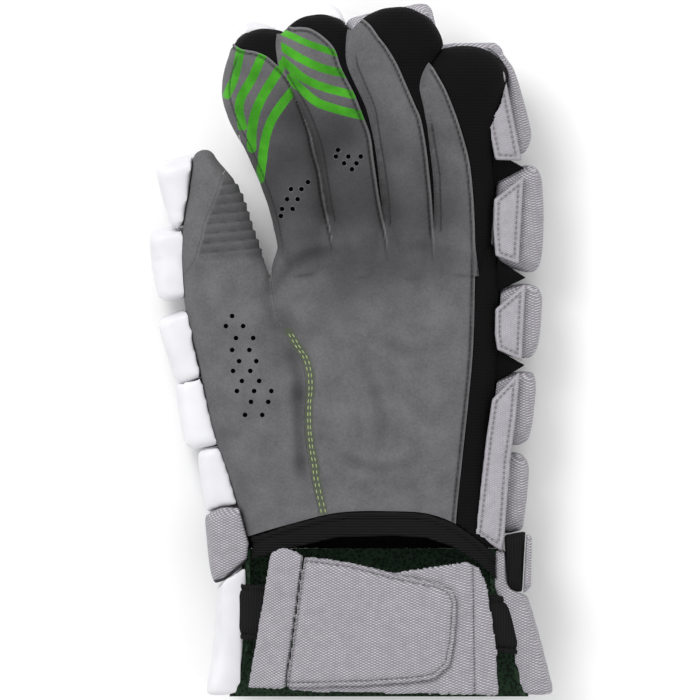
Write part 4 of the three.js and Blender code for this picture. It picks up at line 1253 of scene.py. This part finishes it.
# Where the webs of mesh run out between the side pads: the lowest X, then the range of Y
FINGER_WEB = (66.0, 148, 172)
PALM_WEBS = [(66.8, 56, 82), (67.6, 98, 124)]


def web_of(node, span):
    """The part of a frame node's mesh that lies between two side pads."""
    return carve(cad_copy(node, "web"), "INTERSECT", [band_of(*span)])


def wrinkle(obj, height, size, seed=0.0):
    """Raises and lowers a cloth's surface in soft folds."""
    points = places_of(obj) / MM - WRIST_MIDDLE
    rise = height * noise_of(points, size, seed)
    set_places(obj, places_of(obj) + normals_of(obj) * (rise * MM)[:, None])


def cad_copy(node, name):
    """A merged copy of a frame node's mesh."""
    obj = copy_of(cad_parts[node], name)
    bm = bmesh.new()
    bm.from_mesh(obj.data)
    bmesh.ops.remove_doubles(bm, verts=bm.verts, dist=1e-6)
    bm.to_mesh(obj.data)
    bm.free()
    return obj


# The cloth's simulation: pressure, weight in kilograms a vertex, and steps
SHRINK_BEFORE_SWELL = 0.0003
SWELL_PRESSURE, COVER_WEIGHT, CLOTH_QUALITY, CLOTH_FRAMES = 4.0, 0.2, 4, 20


def swell(obj, cap):
    """Blows a pad's cover up a little with Blender's cloth, to at most cap from where it was."""
    start = places_of(obj)
    modifier = obj.modifiers.new("cloth", "CLOTH")
    modifier.settings.use_pressure = True
    modifier.settings.uniform_pressure_force = SWELL_PRESSURE
    modifier.settings.quality = CLOTH_QUALITY
    modifier.settings.mass = COVER_WEIGHT
    modifier.settings.effector_weights.gravity = 0
    modifier.point_cache.frame_start = 1
    modifier.point_cache.frame_end = CLOTH_FRAMES
    scene = bpy.context.scene
    for number in range(1, CLOTH_FRAMES + 1):
        scene.frame_set(number)
    settle(obj)
    scene.frame_set(1)
    move = places_of(obj) - start
    far = np.linalg.norm(move, axis=1, keepdims=True)
    set_places(obj, start + move * np.minimum(1, cap / np.maximum(far, 1e-9)))


def pad_from(node, name, voxel, cap, rounds=3, clear=()):
    """A stuffed cover from a frame node's solid, kept clear of the limbs that it lies on."""
    obj = cad_copy(node, name)
    remesh(obj, voxel, rounds=rounds)
    set_places(obj, places_of(obj) - normals_of(obj) * SHRINK_BEFORE_SWELL)
    swell(obj, cap)
    modifier = obj.modifiers.new("fine", "SUBSURF")
    modifier.levels = 1
    modifier.render_levels = 1
    settle(obj)
    for limb in clear:
        carve(obj, "DIFFERENCE", [loft("clear", limb.tube(grow=GAP / 2, past=0.05, steps=60, sides=96))])
    shade(obj, 80)
    return obj


def cover_of(is_white, colours):
    """Slot and material of a pad's cover, white or woven grey."""
    if is_white:
        return "white_shell", white_material(colours)
    return "grey_woven", woven_material(colours)


class GLOVE_OT_finger_pads(bpy.types.Operator):
    """Stuff the padded blocks on the backs of the fingers"""

    bl_idname = "glove.finger_pads"
    bl_label = "Finger pads"

    def execute(self, context):
        sizes, colours = context.scene.glove_sizes, context.scene.glove_colours
        for name in FINGER_NAMES:
            slot, material = cover_of(name in ("index", "middle"), colours)
            for k in range(1, 4):
                node = f"{name}_pad_{k}"
                obj = pad_from(node, f"cover_{node}", sizes.pad_voxel, sizes.pad_swell, clear=[LIMBS[name]])
                dress(obj, material, [node])
        return {"FINISHED"}


# The thumb's blocks are small, so their mesh is finer; the one at the tip is smoothed most
THUMB_VOXEL = 0.0017
THUMB_ROUNDS, TIP_ROUNDS = 2, 14


class GLOVE_OT_thumb_pads(bpy.types.Operator):
    """Stuff the white blocks round the thumb"""

    bl_idname = "glove.thumb_pads"
    bl_label = "Thumb pads"

    def execute(self, context):
        sizes, colours = context.scene.glove_sizes, context.scene.glove_colours
        for k in range(1, 6):
            node = f"thumb_pad_{k}"
            rounds = TIP_ROUNDS if k == 5 else THUMB_ROUNDS
            obj = pad_from(node, f"cover_{node}", THUMB_VOXEL, sizes.pad_swell, rounds, clear=[THUMB])
            dress(obj, white_material(colours), [node])
        return {"FINISHED"}


class GLOVE_OT_back_pads(bpy.types.Operator):
    """Stuff the blocks on the back of the hand"""

    bl_idname = "glove.back_pads"
    bl_label = "Back pads"

    def execute(self, context):
        sizes, colours = context.scene.glove_sizes, context.scene.glove_colours
        for k in range(1, 7):
            node = f"back_pad_{k}"
            obj = pad_from(node, f"cover_{node}", sizes.pad_voxel, sizes.pad_swell, clear=[HAND])
            flatten(obj)
            slot, material = cover_of(k <= 3, colours)
            dress(obj, material, [node])
        return {"FINISHED"}


def flatten(obj):
    """Lets a piece lie flat on the floor where it would sink below it."""
    co = places_of(obj)
    co[:, 2] = np.maximum(co[:, 2], 0.0)
    set_places(obj, co)


class GLOVE_OT_side_pads(bpy.types.Operator):
    """Stuff the blocks along the little finger's edge and sew their flaps"""

    bl_idname = "glove.side_pads"
    bl_label = "Side pads and flaps"

    def execute(self, context):
        sizes, colours = context.scene.glove_sizes, context.scene.glove_colours
        woven = woven_material(colours)
        fine = woven_material(colours, "Fine grey nylon", thread_width=0.7, ground="a09da4")
        for k in range(1, 6):
            node = f"side_pad_{k}"
            near = LIMBS["little"] if k == 1 else HAND
            obj = pad_from(node, f"cover_{node}", sizes.pad_voxel, sizes.pad_swell, clear=[near])
            dress(obj, woven, [node])
        for k in range(1, 5):
            node = f"side_flap_{k}"
            obj = remesh(cad_copy(node, f"cover_{node}"), 0.0007, rounds=5)
            outline = on_palm(FLAPS[k - 1])
            sewn_edge(obj, np.vstack([outline, outline[:1]]), 2.3)
            shade(obj, 80)
            dress(obj, fine, [node], sheet="laid")
        return {"FINISHED"}


# Distance between stitches of a sewn edge, and how far in from them the cloth swells
PUCKER = 2.4
CROWN_REACH = 3.0
# how far the painted shade at a sewn edge's line reaches
FOLD_BLUR = 0.45


def sewn_edge(obj, line, inset, depth=0.5, crown=0.5, width=0.55):
    """Sinks a puckered row of stitches beside a line in plan and crowns the cloth next to it, with painted
    shade along the row and along the line itself.
    """
    points = places_of(obj) / MM - WRIST_MIDDLE
    gap, where = line_distance(points[:, :2], line)
    above = normals_of(obj)[:, 2] > 0.3
    ripple = 0.5 + 0.5 * np.sin(where * 2 * np.pi / PUCKER)
    row = np.exp(-(((gap - inset) / width) ** 2)) * above
    swollen = np.clip((gap - inset) / CROWN_REACH, 0, 1) * above
    edge = np.exp(-((gap / FOLD_BLUR) ** 2))
    height = crown * swollen - depth * row * (0.6 + 0.4 * ripple)
    set_places(obj, places_of(obj) + normals_of(obj) * (height * MM)[:, None])
    # painted shade along the sunk row and at the line
    stitch_shade = np.maximum(row * (0.25 + 0.55 * ripple), 0.3 * edge)
    if "seam" in obj.data.attributes:
        old = np.empty(len(points))
        obj.data.attributes["seam"].data.foreach_get("value", old)
        obj.data.attributes["seam"].data.foreach_set("value", np.maximum(old, stitch_shade))
    else:
        attribute(obj, "seam", stitch_shade)


def cuff_shell(name, inner, outer, sides=160, steps=60):
    """A wall round the cuff between two distances from the cuff's own wall."""
    shell = loft(name, CUFF.tube(grow=outer, past=0.05, sides=sides, steps=steps))
    hole = loft("inner", CUFF.tube(grow=inner, past=0.1, sides=sides, steps=steps))
    return carve(shell, "DIFFERENCE", [hole])


class GLOVE_OT_cuff(bpy.types.Operator):
    """Pad and line the open cuff"""

    bl_idname = "glove.cuff"
    bl_label = "Cuff"

    def execute(self, context):
        sizes, colours = context.scene.glove_sizes, context.scene.glove_colours
        low = CUFF_TOP - CUFF_LENGTH
        liner = cuff_shell("cuff_lining", -LINER, 0.0)
        band = band_of(-FAR, low, CUFF_TOP)
        carve(liner, "INTERSECT", [band, loft("wedge", CUFF.wedge(CUFF_WALL, low=-0.2))])
        shade(liner)
        dress(liner, liner_material(colours), ["cuff_liner"], sheet="stretched")
        for node in ("cuff_pad_left", "cuff_pad_back", "cuff_pad_right"):
            obj = pad_from(node, f"cover_{node}", sizes.pad_voxel, sizes.pad_swell, clear=[CUFF])
            flatten(obj)
            slot, material = cover_of(node == "cuff_pad_left", colours)
            dress(obj, material, [node])
        return {"FINISHED"}


# The binding's roll: its width and height, then the groove's width and depth
ROLL_WIDTH, ROLL_HEIGHT, ROLL_GROOVE, GROOVE_DEPTH = 3.2, 0.7, 0.5, 0.6
PIPING_WIDTH, PIPING_BLUR = 1.9, 0.4


class GLOVE_OT_binding(bpy.types.Operator):
    """Roll the black binding over the palm's wrist edge and make the two folded tabs"""

    bl_idname = "glove.binding"
    bl_label = "Binding and tabs"

    def execute(self, context):
        sizes, colours = context.scene.glove_sizes, context.scene.glove_colours
        webbing, woven = webbing_material(colours), woven_material(colours)
        obj = remesh(cad_copy("palm_binding", "rolled_binding"), 0.0008, rounds=8)
        points = places_of(obj) / MM - WRIST_MIDDLE
        gap, _ = line_distance(points[:, :2], smooth_line(on_palm(WRIST_EDGE)))
        roll = np.sin(np.pi * np.clip(gap / ROLL_WIDTH, 0, 1)) * (gap < ROLL_WIDTH)
        groove = np.exp(-(((gap - ROLL_WIDTH) / ROLL_GROOVE) ** 2))
        height = (ROLL_HEIGHT * roll - GROOVE_DEPTH * groove) * (normals_of(obj)[:, 2] > 0.2)
        set_places(obj, places_of(obj) + normals_of(obj) * (height * MM)[:, None])
        shade(obj, 80)
        tape = webbing_material(colours, "Black binding tape", "Y")
        dress(obj, tape, ["palm_binding"], sheet="stretched")
        obj = pad_from("tab_left", "folded_tab_left", 0.0012, sizes.pad_swell)
        points = places_of(obj) / MM - WRIST_MIDDLE
        gap, _ = line_distance(points[:, :2], on_palm(TAB_PIPING))
        attribute(obj, "seam", np.clip((PIPING_WIDTH - gap) / PIPING_BLUR, 0, 1))
        dress(obj, woven, ["tab_left"])
        for node, slot, material in (
            ("tab_right", "black_webbing", webbing),
            ("tab_right_trim", "grey_woven", woven),
        ):
            obj = remesh(cad_copy(node, f"folded_{node}"), 0.0009, rounds=5)
            shade(obj, 80)
            dress(obj, material, [node], sheet="folded")
        return {"FINISHED"}


STRAP_THICKNESS, ELASTIC_THICKNESS, STRAP_CLEARANCE = 2.4, 1.6, 1.0
ELASTIC_TOP = STRAP_CLEARANCE + ELASTIC_THICKNESS
ON_ELASTIC = ELASTIC_TOP + GAP
ON_BAND = ON_ELASTIC + STRAP_THICKNESS + GAP
# name, node, outline, lowest, highest, slot
STRAP_PIECES = [
    ("elastic_inner_left", "elastic_left", ELASTIC_LEFT, STRAP_CLEARANCE, ELASTIC_TOP, "black_webbing"),
    ("elastic_inner_right", "elastic_right", ELASTIC_RIGHT, STRAP_CLEARANCE, ELASTIC_TOP, "black_webbing"),
    ("strap_right_band", "strap_band", STRAP_BAND, ON_ELASTIC, ON_ELASTIC + STRAP_THICKNESS, "grey_woven"),
    ("strap_left_roll", "strap_roll", STRAP_ROLL, ON_ELASTIC, ON_BAND + STRAP_THICKNESS, "grey_woven"),
    ("strap_front_tab", "strap_tab", STRAP_TAB, ON_BAND, ON_BAND + STRAP_THICKNESS, "grey_woven"),
]

# Lines of the strap's stitches, in shares of the cuff
ROLL_SEAM = [(-0.18, 0.05), (-0.249, 0.94)]
TAB_EDGE = STRAP_TAB[1:] + STRAP_TAB[:1]
HEM = 2.4
BAND_SEAM = [(0.478, 0.1), (0.486, 0.98)]
# Rows of stitches on each piece: the line that they follow, and how far from it they run
STRAP_SEAMS = {
    "strap_left_roll": [(ROLL_SEAM, 0.4)],
    "strap_front_tab": [(TAB_EDGE, 1.9), (ROLL_SEAM, 0.8)],
    # beside the tab's edge on the band: a dip with a painted shadow of the tab
    "strap_right_band": [(BAND_SEAM, 0.0), (TAB_EDGE, -0.6)],
    "elastic_inner_left": [(ELASTIC_LEFT[1:3], HEM), ([ELASTIC_LEFT[3], ELASTIC_LEFT[0]], HEM)],
    "elastic_inner_right": [(ELASTIC_RIGHT[1:3], HEM), ([ELASTIC_RIGHT[3], ELASTIC_RIGHT[0]], HEM)],
}


class GLOVE_OT_strap(bpy.types.Operator):
    """Lay the wrist strap, its rolled end, its tab and the two elastics"""

    bl_idname = "glove.strap"
    bl_label = "Strap and elastics"

    def execute(self, context):
        colours = context.scene.glove_colours
        materials = {"grey_woven": woven_material(colours), "black_webbing": webbing_material(colours)}
        for name, node, outline, inner, outer, slot in STRAP_PIECES:
            obj = cuff_shell(name, inner, outer, sides=220, steps=40)
            carve(obj, "INTERSECT", [prism("outline", on_cuff(outline), BACK_PAD + CUFF_DEPTH / 2, TALL)])
            remesh(obj, 0.0007, rounds=5)
            if slot == "grey_woven":
                wrinkle(obj, height=0.45, size=16.0, seed=3.0)
            for line, inset in STRAP_SEAMS.get(name, []):
                sewn_edge(obj, on_cuff(line), inset, depth=0.8, crown=0.7)
            shade(obj, 80)
            dress(obj, materials[slot], [node], sheet="laid")
        return {"FINISHED"}


# How far a thread stands out of the cloth, in its own widths, and a short step along its row
THREAD_RISE = 0.15
ROW_STEP = 0.0005


def stitches(name, lines, ground, sizes):
    """Rows of stitches laid on the nearest surface of the ground, as one mesh."""
    tree = BVHTree.FromObject(ground, bpy.context.evaluated_depsgraph_get())
    pitch = sizes.stitch_pitch
    bm = bmesh.new()
    for line in lines:
        line = to_frame(line)
        steps = np.linalg.norm(np.diff(line, axis=0), axis=1)
        run = np.concatenate([[0], np.cumsum(steps)])
        for place in np.arange(pitch / 2, run[-1], pitch):
            at = Vector([np.interp(place, run, line[:, axis]) for axis in range(3)])
            ahead = Vector([np.interp(place + ROW_STEP, run, line[:, axis]) for axis in range(3)])
            hit, normal, _, _ = tree.find_nearest(at)
            along = (ahead - at).normalized()
            along = (along - normal * along.dot(normal)).normalized()
            side = normal.cross(along)
            made = bmesh.ops.create_uvsphere(bm, u_segments=6, v_segments=4, radius=0.5)["verts"]
            for vert in made:
                x, y, z = vert.co
                reach = along * (z * sizes.stitch_length) + side * (x * sizes.thread_width)
                vert.co = hit + reach + normal * ((y + THREAD_RISE) * sizes.thread_width)
    return add_object(name, bm)


ROW_SHIFTS = (1.2, 3.0)


def lifted_line(points, height):
    """A smooth line through plan points, at a height above the floor."""
    flat = smooth_line(points)
    return np.column_stack([flat, np.full(len(flat), height)])


class GLOVE_OT_stitching(bpy.types.Operator):
    """Sew the double row of stitches beside the thumb"""

    bl_idname = "glove.stitching"
    bl_label = "Stitching"

    def execute(self, context):
        sizes, colours = context.scene.glove_sizes, context.scene.glove_colours
        seam = on_palm(DOUBLE_STITCH)
        top = HAND_CENTRE + HAND_DEPTH / 2
        rows = [lifted_line(seam + (shift, 0), top) for shift in ROW_SHIFTS]
        obj = stitches("thread_thumb_seam", rows, bpy.data.objects["suede_palm"], sizes)
        dress(obj, thread_material(colours), [])
        return {"FINISHED"}


# The stage, in metres: name, place, size and watts of each light
FLOOR_SIZE = 6.0
LIGHTS = [
    ("key", (-0.6, 0.9, 1.2), 0.7, 13.0),
    ("fill", (0.9, -0.3, 1.2), 1.0, 3.0),
]
SKY_STRENGTH = 0.82
CAMERA_HEIGHT = 1.5
PHOTO_WIDTH = 0.322
PHOTO_MIDDLE = (-0.00059, -0.00069)


class GLOVE_OT_stage(bpy.types.Operator):
    """Set the floor, the studio lights and the camera"""

    bl_idname = "glove.stage"
    bl_label = "Stage"

    def execute(self, context):
        scene = context.scene
        bm = bmesh.new()
        bmesh.ops.create_grid(bm, x_segments=1, y_segments=1, size=FLOOR_SIZE / 2)
        floor = add_object("floor", bm)
        material = bpy.data.materials.new("Plain pale floor")
        material.use_nodes = True
        shader = material.node_tree.nodes["Principled BSDF"]
        shader.inputs["Base Color"].default_value = colour_of("f7f7f7")
        shader.inputs["Roughness"].default_value = 0.9
        floor.data.materials.append(material)
        world = bpy.data.worlds.new("studio")
        scene.world = world
        world.use_nodes = True
        world.node_tree.nodes["Background"].inputs["Color"].default_value = (1, 1, 1, 1)
        world.node_tree.nodes["Background"].inputs["Strength"].default_value = SKY_STRENGTH
        for name, place, size, power in LIGHTS:
            light = bpy.data.lights.new(name, "AREA")
            light.size = size
            light.energy = power
            lamp = bpy.data.objects.new(name, light)
            lamp.location = place
            lamp.rotation_euler = (-Vector(place)).to_track_quat("-Z", "Y").to_euler()
            scene.collection.objects.link(lamp)
        camera = bpy.data.cameras.new("camera")
        camera.type = "ORTHO"
        camera.ortho_scale = PHOTO_WIDTH
        view = bpy.data.objects.new("camera", camera)
        view.location = (*PHOTO_MIDDLE, CAMERA_HEIGHT)
        scene.collection.objects.link(view)
        scene.camera = view
        scene.view_settings.view_transform = "Standard"
        return {"FINISHED"}


OPERATORS = (
    GLOVE_OT_stage,
    GLOVE_OT_suede,
    GLOVE_OT_gussets,
    GLOVE_OT_finger_pads,
    GLOVE_OT_thumb_pads,
    GLOVE_OT_back_pads,
    GLOVE_OT_side_pads,
    GLOVE_OT_cuff,
    GLOVE_OT_binding,
    GLOVE_OT_strap,
    GLOVE_OT_stitching,
)


class GLOVE_PT_panel(bpy.types.Panel):
    """Lists the glove's pieces"""

    bl_idname = "GLOVE_PT_panel"
    bl_label = "Lacrosse glove"
    bl_space_type = "VIEW_3D"
    bl_region_type = "UI"
    bl_category = "Glove"

    def draw(self, context):
        for group in (context.scene.glove_sizes, context.scene.glove_colours):
            for name in group.bl_rna.properties.keys():
                if name not in {"rna_type", "name"}:
                    self.layout.prop(group, name)
        for operator in OPERATORS:
            self.layout.operator(operator.bl_idname)


def register():
    for item in (GloveSizes, GloveColours, *OPERATORS, GLOVE_PT_panel):
        bpy.utils.register_class(item)
    bpy.types.Scene.glove_sizes = bpy.props.PointerProperty(type=GloveSizes)
    bpy.types.Scene.glove_colours = bpy.props.PointerProperty(type=GloveColours)


def unregister():
    del bpy.types.Scene.glove_colours
    del bpy.types.Scene.glove_sizes
    for item in reversed((GloveSizes, GloveColours, *OPERATORS, GLOVE_PT_panel)):
        bpy.utils.unregister_class(item)


def main():
    register()
    for operator in OPERATORS:
        group, name = operator.bl_idname.split(".")
        getattr(getattr(bpy.ops, group), name)()


if __name__ == "__main__":
    main()
